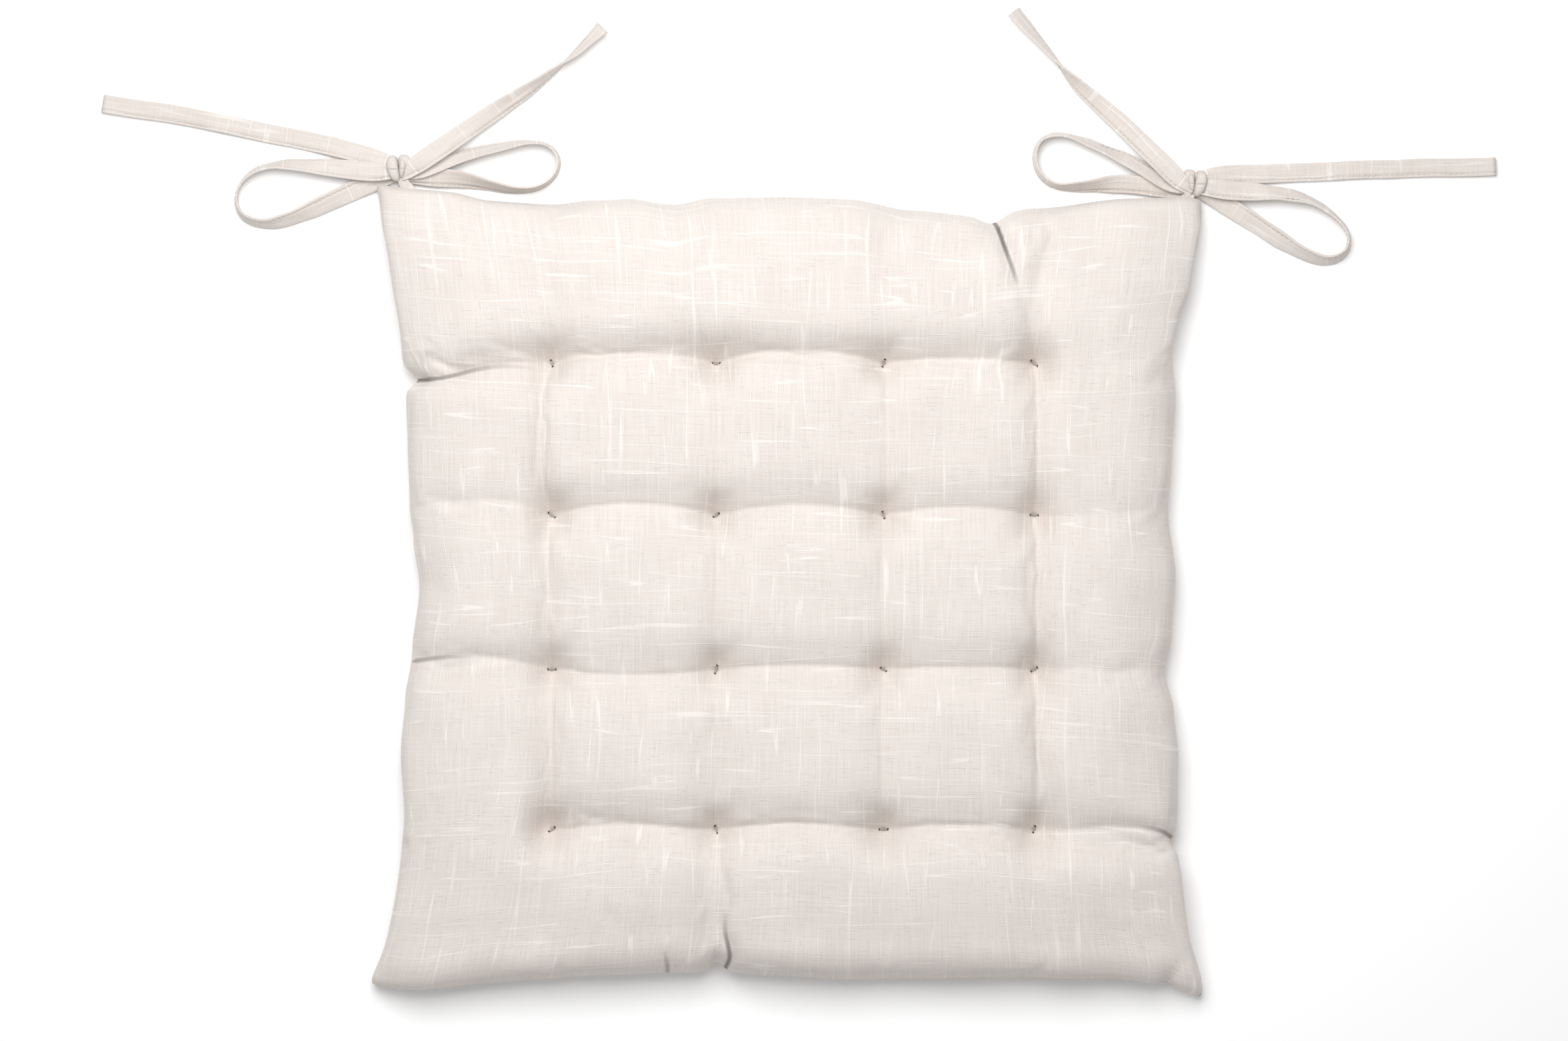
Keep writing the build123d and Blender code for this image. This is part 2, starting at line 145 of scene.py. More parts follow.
def weave(name, tone, coarse=1.0):
    """Undyed linen-look twill with slub yarns both ways, laid along the mesh's weave map."""
    g = Graph(name)
    cloth = g.stretch(g.node("UVMap", uv_map="weave").outputs[0], 1000.0, 1000.0)

    def slubs(width, length, upright, low, high):
        """Short thick lumps of yarn of about this width and length."""
        across, along = 1 / width, 1 / length
        place = g.stretch(cloth, across, along) if upright else g.stretch(cloth, along, across)
        return g.fade(g.noise(place, 1.0, 0.5), low, high)

    def thin_yarns(heading, pitch):
        """Long thin yarns, unevenly spaced, that come and go."""
        along = (heading[1], heading[0])
        slow = [0.16 * h + 0.007 * l for h, l in zip(heading, along)]
        shift = g.times(g.noise(g.stretch(cloth, *slow), 1.0, 0.0), 26.0)
        line = g.fade(g.wave(cloth, heading, pitch * coarse, shift), 0.86, 0.99)
        patchy = [0.4 * h + 0.03 * l for h, l in zip(heading, along)]
        return g.times(line, g.fade(g.noise(g.stretch(cloth, *patchy), 1.0, 1.0), -0.12, 0.16))

    twill = g.wave(cloth, (1.0, 0.86), 1.1)
    upright_tone = g.noise(g.stretch(cloth, 1.5, 0.04), 1.0)
    level_tone = g.noise(g.stretch(cloth, 0.04, 1.5), 1.0)
    fuzz = g.noise(cloth, 2.2, 3.0)
    thin = g.math("MAXIMUM", thin_yarns((1.0, 0.0), 4.6), thin_yarns((0.0, 1.0), 5.8))
    thick = g.math("MAXIMUM", slubs(0.55, 11.0, False, 0.21, 0.26), slubs(0.5, 12.0, True, 0.25, 0.29))

    tones = g.add(g.times(twill, 0.08), g.times(upright_tone, 0.85), g.times(level_tone, 0.5))
    tones = g.add(tones, g.times(fuzz, 0.45))
    raised = g.add(g.times(thin, 0.42), g.times(thick, 0.62))
    height = g.add(g.times(tones, 0.16), g.times(raised, 0.16))
    g.bump(height, 1.0)
    cloud = g.noise(cloth, 0.035, 2.0)
    dark, pale, lit = tone
    ground = g.mix(g.add(tones, g.times(cloud, 0.4), 0.5), dark, pale)
    cloth_colour = g.mix(g.math("MINIMUM", raised, 1.0), ground, lit)
    # Painted shade: the cloth is darkened towards a near-black brown along the pad's sharp folds, read
    # from the pad's point attributes.
    beside = g.math("ABSOLUTE", g.node("Attribute", attribute_name="fold_shade_offset").outputs["Fac"])
    dark = g.node("Attribute", attribute_name="painted_fold_shade_amount").outputs["Fac"]
    fold_shade_share = g.times(dark, g.fade(beside, 1.7, 0.3))
    return g.finish(g.mix(g.times(fold_shade_share, 0.9), cloth_colour, (0.16, 0.14, 0.13, 1)), 0.88, sheen=0.15)


def thread(name, colour, dark_share=0.75):
    """Spun thread: fine twisted plies."""
    g = Graph(name)
    spot = g.node("TexCoord").outputs["Object"]
    plies = g.noise(spot, 2600.0, 2.0)
    patches = g.noise(spot, 300.0, 1.0)
    dark = tuple(c * dark_share for c in colour[:3]) + (1,)
    g.bump(plies, 0.12)
    share = g.add(0.6, g.times(plies, 1.2), g.times(patches, 0.6))
    return g.finish(g.mix(share, dark, colour), 0.7, sheen=0.2)


def floor_finish():
    """A matt white studio sweep."""
    g = Graph("studio_white")
    spot = g.node("TexCoord").outputs["Object"]
    share = g.add(0.5, g.times(g.noise(spot, 3.0), 0.1))
    return g.finish(g.mix(share, (0.97, 0.97, 0.97, 1), (0.99, 0.99, 0.99, 1)), 0.9)


COVER_TONE = ((0.60, 0.545, 0.505, 1), (0.785, 0.73, 0.69, 1), (0.90, 0.87, 0.83, 1))
TIE_TONE = ((0.56, 0.505, 0.465, 1), (0.75, 0.695, 0.655, 1), (0.88, 0.85, 0.81, 1))
cover_cloth = weave("cover_cloth", COVER_TONE)
tie_cloth = weave("tie_cloth", TIE_TONE, coarse=0.8)
seam_thread = thread("seam_thread_finish", (0.72, 0.67, 0.62, 1))
tuft_thread = thread("tuft_thread_finish", (0.40, 0.36, 0.33, 1))
hole_shade = thread("stitch_hole_shade", (0.07, 0.06, 0.055, 1))


# ---------------------------------------------------------------- mesh helpers
def new_object(name, points, faces, materials, weave_map=None, smooth=True):
    """A mesh object, with the weave map given for each point."""
    mesh = bpy.data.meshes.new(name)
    mesh.from_pydata([tuple(map(float, p)) for p in points], [], [tuple(map(int, f)) for f in faces])
    mesh.update()
    if weave_map is not None:
        layer = mesh.uv_layers.new(name="weave")
        corners = np.empty(len(mesh.loops), int)
        mesh.loops.foreach_get("vertex_index", corners)
        layer.data.foreach_set("uv", np.asarray(weave_map, float)[corners].ravel())
    mesh.polygons.foreach_set("use_smooth", [smooth] * len(mesh.polygons))
    for material in materials:
        mesh.materials.append(material)
    made = bpy.data.objects.new(name, mesh)
    bpy.context.scene.collection.objects.link(made)
    return made


def node_points(name):
    """The points of a CAD node's mesh."""
    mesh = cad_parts[name].data
    points = np.empty(len(mesh.vertices) * 3, np.float32)
    mesh.vertices.foreach_get("co", points)
    return points.reshape(-1, 3).astype(float)


def middle_of(name):
    low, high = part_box(name)
    return (low + high) / 2


# ---------------------------------------------------------------- the pad's plan, read from the frame
cover_points = node_points("top_cover")


def cover_corner(x_sign, y_sign):
    """The plan position of one of the cover's corners."""
    return cover_points[np.argmax(cover_points[:, 0] * x_sign + cover_points[:, 1] * y_sign), :2]


CORNERS = {
    "front_left": cover_corner(-1, -1),
    "front_right": cover_corner(1, -1),
    "back_left": cover_corner(-1, 1),
    "back_right": cover_corner(1, 1),
}
SIDE_ENDS = {
    "front": ("front_left", "front_right", 1, 1),
    "back": ("back_left", "back_right", 1, -1),
    "left": ("front_left", "back_left", 0, 1),
    "right": ("front_right", "back_right", 0, -1),
}


def side_sag(side):
    """How far the middle of a side pulls in from the line between its corners."""
    start, end, axis, inward = SIDE_ENDS[side]
    middle = (CORNERS[start] + CORNERS[end]) / 2
    near = np.abs(cover_points[:, 1 - axis] - middle[1 - axis]) < 4 * MM
    outermost = (cover_points[near, axis] * inward).min() * inward
    return abs(outermost - middle[axis])


SAGS = {side: side_sag(side) for side in SIDE_ENDS}
TUFTS = {
    (row, column): middle_of(f"tuft_{row}_{column}") for row in range(1, 5) for column in range(1, 5)
}
TUFT_X = [TUFTS[4, column].x for column in range(1, 5)]
TUFT_Y = [TUFTS[row, 1].y for row in range(4, 0, -1)]
SEAM_SIDE = 13 * MM
SEAM_CORNER = 6.5 * MM


def side_line(side, share):
    """Points of a side that is straight in its middle and flares out to its corners."""
    start, end, axis, inward = SIDE_ENDS[side]
    share = np.asarray(share, float)[..., None]
    line = CORNERS[start] * (1 - share) + CORNERS[end] * share
    line = line + np.zeros_like(share)
    line[..., axis] += inward * SAGS[side] * (1 - np.abs(2 * share[..., 0] - 1) ** 4)
    return line


def plan_point(a, b):
    """The plan position of shares a to the right and b to the back."""
    a_, b_ = a[..., None], b[..., None]
    front = CORNERS["front_left"] * (1 - a_) + CORNERS["front_right"] * a_
    back = CORNERS["back_left"] * (1 - a_) + CORNERS["back_right"] * a_
    corners = front * (1 - b_) + back * b_
    sides = side_line("front", a) * (1 - b_) + side_line("back", a) * b_
    sides = sides + side_line("left", b) * (1 - a_) + side_line("right", b) * a_
    return sides - corners


TYPICAL_SIDE = 390 * MM


def share_of(position, axis):
    """The share along one axis whose line runs through a plan position."""
    shares = np.array([0.5, 0.5])
    for _ in range(40):
        here = plan_point(shares[:1], shares[1:])[0]
        shares = shares + (position - here) / TYPICAL_SIDE
    return shares[axis]


def seam_height(a, b):
    corner = ((2 * a - 1) * (2 * b - 1)) ** 4
    return SEAM_SIDE + (SEAM_CORNER - SEAM_SIDE) * corner


# ---------------------------------------------------------------- the pad's cloth
CELL_LINES = 16
EDGE_LINES = 17
COUNTS = [EDGE_LINES] + [CELL_LINES] * 3 + [EDGE_LINES]
FULLNESS = 1.10
EDGE_CLOTH_X = 90 * MM
EDGE_CLOTH_Y = 88 * MM
CROWN = 40 * MM
DIMPLE_TOP = 19 * MM
DIMPLE_BOTTOM = 5 * MM
BOTTOM_REST = 0.6 * MM


def spread(stations):
    """Evenly divided runs between stations, with the fixed number of lines in each."""
    values = []
    for (start, end), count in zip(zip(stations, stations[1:]), COUNTS):
        values += [start + (end - start) * i / count for i in range(count)]
    return np.array(values + [stations[-1]])


def flat_positions(tuft_line, edge_cloth):
    """Where the lines lie on the flat cut cloth, about its middle."""
    stations = [0.0]
    for run in [edge_cloth] + list(np.diff(tuft_line) * FULLNESS) + [edge_cloth]:
        stations.append(stations[-1] + run)
    flat = spread(stations)
    return flat - flat.mean()


def rise(place, line):
    """0 on a line of tufts and 1 midway between two, and from there out to the edge."""
    outer = 72 * MM
    stations = np.array([line[0] - outer] + list(line) + [line[-1] + outer])
    phase = np.clip(np.interp(place, stations, np.arange(len(stations))), 0.5, len(stations) - 1.5)
    return np.sin(math.pi * phase) ** 2


a_line = spread([0] + [share_of(np.array([x, 0.0]), 0) for x in TUFT_X] + [1])
b_line = spread([0] + [share_of(np.array([0.0, y]), 1) for y in TUFT_Y] + [1])
A, B = np.meshgrid(a_line, b_line, indexing="ij")
FLAT_X, FLAT_Y = np.meshgrid(
    flat_positions(TUFT_X, EDGE_CLOTH_X), flat_positions(TUFT_Y, EDGE_CLOTH_Y), indexing="ij"
)
LINES = len(a_line)


def start_panels():
    """The top and bottom panels as a plain pillow, before the cloth settles."""
    plan = plan_point(A, B)
    edge = np.sqrt(np.clip((1 - np.abs(2 * A - 1) ** 6) * (1 - np.abs(2 * B - 1) ** 6), 0, 1))
    bump = 0.5 * (rise(plan[..., 0], TUFT_X) + rise(plan[..., 1], TUFT_Y))
    seam = seam_height(A, B)
    upper = DIMPLE_TOP + (CROWN - DIMPLE_TOP) * (1 - (1 - bump) ** 1.4)
    lower = DIMPLE_BOTTOM - (DIMPLE_BOTTOM - BOTTOM_REST) * (1 - (1 - bump) ** 2.5)
    top = np.dstack([plan, seam + edge * (upper - seam)])
    bottom = np.dstack([plan, seam + edge * (lower - seam)])
    return top, bottom


def panel_numbers(count):
    """Point numbers of two square panels that share their outer ring."""
    top = np.arange(count * count).reshape(count, count)
    bottom = top.copy()
    bottom[1:-1, 1:-1] = count * count + np.arange((count - 2) ** 2).reshape(count - 2, count - 2)
    return top, bottom


def panel_faces(top, bottom):
    faces = []
    for grid, order in ((top, (0, 1, 2, 3)), (bottom, (0, 3, 2, 1))):
        quads = np.stack([grid[:-1, :-1], grid[1:, :-1], grid[1:, 1:], grid[:-1, 1:]], axis=-1)
        faces.append(quads.reshape(-1, 4)[:, list(order)])
    return np.concatenate(faces)


def join_panels(top, bottom):
    """The points of both panels in the order of panel_numbers."""
    inner = bottom[1:-1, 1:-1]
    return np.concatenate([top.reshape(-1, top.shape[-1]), inner.reshape(-1, inner.shape[-1])])


def settle(top, bottom):
    """Both panels after Blender's cloth has been blown up between its tufts."""
    top_numbers, bottom_numbers = panel_numbers(LINES)
    faces = panel_faces(top_numbers, bottom_numbers)
    cloth = new_object("cloth_run", join_panels(top, bottom), faces, [])
    cloth.shape_key_add(name="Basis")
    flat = cloth.shape_key_add(name="flat")
    cut = np.dstack([FLAT_X, FLAT_Y, np.zeros_like(FLAT_X)])
    flat.data.foreach_set("co", join_panels(cut, cut).ravel())
    stations = [EDGE_LINES + CELL_LINES * k for k in range(4)]
    grids = (top_numbers, bottom_numbers)
    pins = [int(grid[i, j]) for grid in grids for i in stations for j in stations]
    cloth.vertex_groups.new(name="tufts").add(pins, 1.0, "REPLACE")

    simulation = cloth.modifiers.new("cloth", "CLOTH")
    s = simulation.settings
    s.quality = 6
    s.mass = 0.05
    s.tension_stiffness = s.compression_stiffness = 15
    s.shear_stiffness = 4.5
    s.bending_stiffness = 0.5
    s.tension_damping = s.compression_damping = s.shear_damping = 5
    s.bending_damping = 0.5
    s.air_damping = 3
    s.vertex_group_mass = "tufts"
    s.pin_stiffness = 50
    s.use_pressure = True
    s.uniform_pressure_force = 2
    s.rest_shape_key = flat
    s.effector_weights.gravity = 0
    simulation.collision_settings.use_self_collision = False
    simulation.collision_settings.distance_min = 1 * MM

    seat = new_object("seat_run", [(-1, -1, 0), (1, -1, 0), (1, 1, 0), (-1, 1, 0)], [(0, 1, 2, 3)], [])
    seat.location.z = -0.5 * MM
    seat.modifiers.new("seat", "COLLISION")
    seat.collision.thickness_outer = 1 * MM
    frames = 40
    scene = bpy.context.scene
    scene.frame_start, scene.frame_end = 1, frames
    simulation.point_cache.frame_end = frames
    for number in range(1, frames + 1):
        scene.frame_set(number)
    settled = cloth.evaluated_get(bpy.context.evaluated_depsgraph_get()).data
    points = np.empty(len(settled.vertices) * 3)
    settled.vertices.foreach_get("co", points)
    points = points.reshape(-1, 3)
    scene.frame_set(1)
    for used in (cloth, seat):
        bpy.data.objects.remove(used)
    return points[top_numbers], points[bottom_numbers]


def curve_weights(share):
    """The weights of the four numbers round a share, for a smooth curve."""
    square, cube = share**2, share**3
    return (
        0.5 * (-share + 2 * square - cube), 0.5 * (2 - 5 * square + 3 * cube),
        0.5 * (share + 4 * square - 3 * cube), 0.5 * (cube - square),
    )


def resample(grid, lines):
    """A smooth curve through a grid's rows, read at fractional row numbers."""
    start = np.clip(lines.astype(int), 0, len(grid) - 2)
    share = (lines - start).reshape(-1, 1, 1)
    padded = np.concatenate([2 * grid[:1] - grid[1:2], grid, 2 * grid[-1:] - grid[-2:-1]])
    return sum(weight * padded[start + k] for k, weight in enumerate(curve_weights(share)))


def refine(grid, lines):
    """The same surface on other lines each way."""
    return resample(resample(grid, lines).transpose(1, 0, 2), lines).transpose(1, 0, 2)


STATIONS = np.cumsum([0] + COUNTS)
ROW_STATION = {row: STATIONS[5 - row] for row in range(1, 5)}
COLUMN_STATION = {column: STATIONS[column] for column in range(1, 5)}
LINE_STEP = 4.6
ROW_NARROWING = 1.7
COLUMN_NARROWING = 2.4
TUFT_PULL = 8 * MM
# How much of each valley is left where it runs on from the last tuft to the side.
KEPT = {
    "left": (0.9, 0.5, 0.8, 0.1), "right": (0.1, 0.3, 0.4, 0.9),
    "front": (0.3, 0.8, 0.2, 0.2), "back": (0.35, 0.3, 0.3, 0.7),
}
# How far the row valleys arch to the back between two tufts, and the column valleys bow to the
# right, in millimetres: one row of numbers for each row of tufts, or of cells.
ROW_ARCHES = ((4, 5.5, 1.5), (5, 4.4, 3.4), (-2.4, 2.2, 1.4), (2.6, 3.6, 3.4))
COLUMN_BOWS = ((-5.5, 1.6, 1.6, 0.8), (-1.5, 0.8, -1, 0.8), (0.6, 1, -1, 0.8))
# Where a row valley comes out at the left and the right side.
ROW_ENDS = ((-8, 0), (3, 2), (4, 0), (0, -5))


def smoothstep(value):
    value = np.clip(value, 0, 1)
    return value * value * (3 - 2 * value)


def soften_side_valleys(height):
    """Fades the valleys that run from the outer tufts to the sides."""
    middles = [0] + [(start + end) // 2 for start, end in zip(STATIONS, STATIONS[1:])] + [LINES - 1]
    numbers = np.arange(LINES)
    for side, kept in KEPT.items():
        across_rows = side in ("left", "right")
        z = height if across_rows else height.T
        first = side in ("left", "front")
        distance = STATIONS[1] - numbers if first else numbers - STATIONS[4]
        weight = smoothstep(distance / 7)[:, None]
        for k, share in enumerate(kept, 1):
            station = ROW_STATION[k] if across_rows else COLUMN_STATION[k]
            cell = np.searchsorted(STATIONS, station)
            low, high = middles[cell], middles[cell + 1]
            run = np.arange(low, high + 1)
            step = smoothstep((run - low) / (high - low))[None, :]
            filled = z[:, low:low + 1] * (1 - step) + z[:, high:high + 1] * step
            z[:, run] += (1 - share) * weight * (filled - z[:, run])
    return height


def bend_lines(i, j):
    """Line numbers shifted so that the valleys arch and bow between their tufts."""
    shift_j = np.zeros_like(j)
    for row, (arches, ends) in enumerate(zip(ROW_ARCHES, ROW_ENDS), 1):
        arch = np.interp(i, (0, STATIONS[1], STATIONS[4], LINES - 1), (ends[0], 0, 0, ends[1]))
        for column, height in enumerate(arches, 1):
            share = (i - STATIONS[column]) / CELL_LINES
            arch = arch + height * np.sin(math.pi * np.clip(share, 0, 1))
        shift_j += arch / LINE_STEP * smoothstep(1 - np.abs(j - ROW_STATION[row]) / 8)
    shift_i = np.zeros_like(i)
    for row, bows in enumerate(COLUMN_BOWS, 1):
        share = (ROW_STATION[row] - j) / CELL_LINES
        for column, bow in enumerate(bows, 1):
            near = smoothstep(1 - np.abs(i - COLUMN_STATION[column]) / 8)
            shift_i += bow * np.sin(math.pi * np.clip(share, 0, 1)) / LINE_STEP * near
    return i - shift_i, j - shift_j


def narrow_valleys(line, power):
    """Line numbers drawn towards the middles of the cells, which leaves the valleys narrow."""
    cell = np.clip(np.searchsorted(STATIONS, line, side="right") - 1, 0, len(COUNTS) - 1)
    start, count = STATIONS[cell], np.array(COUNTS)[cell]
    off = 2 * (line - start) / count - 1
    outer = ((cell == 0) & (off < 0)) | ((cell == len(COUNTS) - 1) & (off > 0))
    return start + count * (0.5 + 0.5 * np.sign(off) * np.abs(off) ** np.where(outer, 1, power))


def lift_between_tufts(top, cell_top):
    """Makes the valleys shallower away from the tufts, and the ones down the columns most."""
    x, y = top[..., 0], top[..., 1]
    nearest = np.min([np.hypot(x - tuft.x, y - tuft.y) for tuft in TUFTS.values()], axis=0)
    to_row = np.min([np.abs(y - place) for place in TUFT_Y], axis=0)
    to_column = np.min([np.abs(x - place) for place in TUFT_X], axis=0)
    only_column = smoothstep((to_row - to_column) / (16 * MM))
    away = 1 - 0.7 * np.exp(-((nearest / TUFT_PULL) ** 2))
    lift = away * (0.35 + 0.25 * only_column)
    top[..., 2] += lift * np.clip(cell_top - top[..., 2], 0, None)
    return top


def read_grid(grid, i, j):
    """A grid of numbers read smoothly at fractional line numbers."""
    padded = np.pad(grid, 1, mode="reflect", reflect_type="odd")
    i, j = np.clip(i, 0, LINES - 1), np.clip(j, 0, LINES - 1)
    row, column = (np.clip(n.astype(int), 0, LINES - 2) for n in (i, j))
    total = np.zeros_like(i)
    for p, weight_i in enumerate(curve_weights(i - row)):
        for q, weight_j in enumerate(curve_weights(j - column)):
            total += weight_i * weight_j * padded[row + p, column + q]
    return total


def pad_lines(count):
    """Line numbers for the finished mesh, closer together near the tuft lines."""
    fine = np.linspace(0, LINES - 1, 4000)
    density = 1 + sum(0.9 * np.exp(-(((fine - station) / 2.4) ** 2)) for station in STATIONS[1:5])
    total = np.cumsum(density)
    return np.interp(np.linspace(total[0], total[-1], count), total, fine)


# How far each side bulges out (+) or is drawn in (-) along its length, as share and millimetres.
SCALLOPS = {
    "left": [
        (0, 0), (0.06, -1.5), (0.14, -1), (0.2, -0.5), (0.3, 3), (0.36, 1.5), (0.42, -1.5),
        (0.5, -4.5), (0.56, -1.5), (0.6, 0.5), (0.68, 1.5), (0.74, 2), (0.8, 3), (0.86, 3.5),
        (0.94, 3), (1, 0),
    ],
    "right": [
        (0, 0), (0.03, 1.2), (0.09, -0.8), (0.15, -0.5), (0.2, -1.5), (0.25, 0), (0.31, 1),
        (0.36, -0.8), (0.41, -4.9), (0.46, -1.6), (0.53, 0.2), (0.61, -3.3), (0.68, -1.6),
        (0.75, -0.4), (0.81, -3), (0.85, -2.2), (0.9, 1.5), (0.96, 2.6), (1, 0),
    ],
    "front": [
        (0, 0), (0.07, 4.2), (0.18, 2.9), (0.28, 1.2), (0.37, -0.4), (0.42, -0.5), (0.5, 0.6),
        (0.57, 1.8), (0.66, 0.8), (0.75, -0.5), (0.82, -1.6), (0.9, -3.8), (0.955, -3), (1, 0),
    ],
    "back": [
        (0, 0), (0.09, 1), (0.14, -1.5), (0.21, -1.6), (0.27, 1.4), (0.31, 2.4), (0.36, 0.2),
        (0.41, 3.8), (0.5, 4.8), (0.57, 4.2), (0.65, -0.6), (0.72, -2.8), (0.8, 0.6), (0.9, 3.6),
        (0.97, 2.4), (1, 0),
    ],
}
# Sharp folds that nip a side: share along it, half-width along it and depth, in millimetres.
NIPS = {
    "left": [(0.757, 4, 6.5)],
    "right": [(0.197, 3.5, 3.2)],
    "front": [(0.418, 4.5, 5), (0.951, 3.5, 3)],
    "back": [(0.745, 7, 4.5)],
}
CORNER_ROUND = {"front_left": 9, "front_right": 6, "back_left": 4, "back_right": 3}


def side_target(side, share):
    """The finished line of a side with its scallops, and the nips apart, both in metres."""
    start, end, axis, inward = SIDE_ENDS[side]
    line = side_line(side, share)
    length = np.linalg.norm(CORNERS[end] - CORNERS[start])
    stations = np.array(SCALLOPS[side], float)
    near = np.clip(np.searchsorted(stations[:, 0], share, side="right") - 1, 0, len(stations) - 2)
    step = (share - stations[near, 0]) / (stations[near + 1, 0] - stations[near, 0])
    step = step * step * (3 - 2 * step)
    out = stations[near, 1] + (stations[near + 1, 1] - stations[near, 1]) * step
    line[..., axis] -= inward * out * MM
    nip = np.zeros_like(share)
    for place, half_width, depth in NIPS[side]:
        nip += depth * MM * np.exp(-(((share - place) * length / (half_width * MM)) ** 2))
    for corner, distance in ((start, share * length), (end, (1 - share) * length)):
        radius = CORNER_ROUND[corner] * MM
        turn = math.radians(45) * (1 - np.clip(distance / radius, 0, 1))
        line[..., axis] += inward * radius * (1 - np.cos(turn))
        shift = radius * (1 - np.sin(turn)) - np.clip(distance, 0, radius)
        line[..., 1 - axis] += np.where(distance < radius, shift, 0) * (1 if corner == start else -1)
    return line, nip


def reach(distance, length):
    """1 at the edge, falling smoothly to 0 at this length inwards."""
    left = np.clip(1 - distance / length, 0, 1)
    return left * left * (3 - 2 * left)


def fit_to_plan(top, bottom, a, b):
    """Moves both panels so that their shared edge follows the plan's outline and seam height."""
    width = np.linalg.norm(CORNERS["front_right"] - CORNERS["front_left"])
    depth = np.linalg.norm(CORNERS["back_left"] - CORNERS["front_left"])
    edges = {
        "left": (np.s_[0, :], b[0, :], a * width),
        "right": (np.s_[-1, :], b[0, :], (1 - a) * width),
        "front": (np.s_[:, 0], a[:, 0], b * depth),
        "back": (np.s_[:, -1], a[:, 0], (1 - b) * depth),
    }
    broad = np.zeros_like(top)
    sharp = np.zeros_like(top)
    weights = {}
    for side, (ring, share, distance) in edges.items():
        axis, inward = SIDE_ENDS[side][2:]
        target, nip = side_target(side, share)
        height = seam_height(a[ring], b[ring])
        move = np.column_stack([target, height]) - top[ring]
        weights[side] = (reach(distance, 62 * MM), move)
        along_x = side in ("front", "back")
        spread_move = move[:, None, :] if along_x else move[None, :, :]
        broad += weights[side][0][..., None] * spread_move
        spread_nip = nip[:, None] if along_x else nip[None, :]
        sharp[..., axis] += inward * spread_nip * reach(distance, 26 * MM)
    for x_side in ("left", "right"):
        for y_side, j in (("front", 0), ("back", -1)):
            both = weights[x_side][0] * weights[y_side][0]
            broad -= both[..., None] * weights[x_side][1][j]
    return top + broad + sharp, bottom + broad + sharp


def between_tufts(first, second, arch, sideways=0.0):
    """A crease from one tuft to the next that arches away from the straight line."""
    start, end = TUFTS[first] / MM, TUFTS[second] / MM
    line = []
    for share, bend in ((0, 0), (0.25, 0.75), (0.5, 1), (0.75, 0.75), (1, 0)):
        spot = start.lerp(end, share)
        line.append((spot.x + sideways * bend, spot.y + arch * bend))
    return line


def tuft_creases():
    """Every crease that joins two neighbouring tufts: strong along the rows, soft down the columns."""
    creases = []
    for row, arches in enumerate(ROW_ARCHES, 1):
        for column, arch in enumerate(arches, 1):
            points = between_tufts((row, column), (row, column + 1), arch)
            creases.append((points, (2.6, 2.1, 2.6), 2.3))
    for row, bows in enumerate(COLUMN_BOWS, 1):
        for column, bow in enumerate(bows, 1):
            points = between_tufts((row, column), (row + 1, column), 0.0, bow)
            depth = 2.0 if column in (1, 4) else 1.4
            creases.append((points, (2.0, depth, 2.0), 2.2))
    return creases


def tuft_mm(row, column):
    return TUFTS[row, column].x / MM, TUFTS[row, column].y / MM


# Creases in from the sides, as plan points in millimetres, then the depth in millimetres at each end
# and the middle, and how wide the crease opens.
EDGE_CREASES = [
    ([(-177, 100.5), (-162, 101.4), (-146.4, 105.6), (-131, 107.6), tuft_mm(1, 1)], (7, 4.2, 2.4), 3.2),
    ([tuft_mm(1, 1), (-122, 112), (-134, 116), (-146, 120.5)], (2, 1.6, 0), 3.2),
    ([(-181, 38), (-165, 42), (-148, 43.2), (-128, 42.4), tuft_mm(2, 1)], (1.6, 1.2, 2), 4),
    ([(-181, 1), (-168, 3), (-156, -3)], (2.2, 1.2, 0), 5),
    ([(-183, -33), (-165, -31), (-147, -30), (-125, -33), tuft_mm(3, 1)], (3, 2, 2.2), 4),
    ([tuft_mm(4, 1), (-114, -94), (-117, -80)], (2, 2.2, 0), 6),
    ([(93, 186), (99.5, 176), (103.5, 163), (108, 148), (109, 142)], (8, 6.5, 0.4), 2.8),
    ([(109, 146), (113.5, 132), (116.5, 118), tuft_mm(1, 4)], (0.6, 1.3, 2.2), 4),
    ([(-29.5, -184), (-25.5, -172), (-29, -158), (-27.5, -144), (-31, -128), tuft_mm(4, 2)],
     (6.5, 3.4, 2.2), 3),
    ([(-29, -182), (-33, -174), (-39, -167.5)], (2.8, 1.6, 0), 3),
    ([(-87, -142), (-83.5, -152), (-79.5, -161)], (0, 1.8, 0), 2.8),
    ([(-56.5, -183), (-56, -175), (-58, -167)], (2.4, 1.4, 0), 2.6),
    ([(186, -118.5), (177, -112.5), (165, -110), (148, -111), (134, -112.5), tuft_mm(4, 4)],
     (4.2, 2.2, 1.8), 3.6),
    ([(184, -36), (160, -37), (138, -36), tuft_mm(3, 4)], (1, 0.8, 1.6), 4),
    ([(184, 40), (160, 37.5), (138, 36), tuft_mm(2, 4)], (0.6, 0.6, 1.6), 4.5),
    ([(182, -186), (186, -178), (191, -170)], (2.6, 1.4, 0), 3),
    ([(-190, -191), (-187, -184), (-182, -178)], (1.6, 1.2, 0), 3),
    ([(-150, 188), (-146, 178), (-140, 168)], (1.4, 0.8, 0), 4),
    ([(-109, 184), (-107, 172), (-110, 158)], (1.8, 1, 0), 5),
    ([(-51, 185), (-48, 174), (-46, 160)], (1.6, 0.9, 0), 5),
]


def catmull(points, steps=8):
    """A smooth line through points."""
    points = np.array(points, float)
    lines = np.linspace(0, len(points) - 1, steps * (len(points) - 1) + 1)
    return resample(points[:, None, :], lines)[:, 0, :]


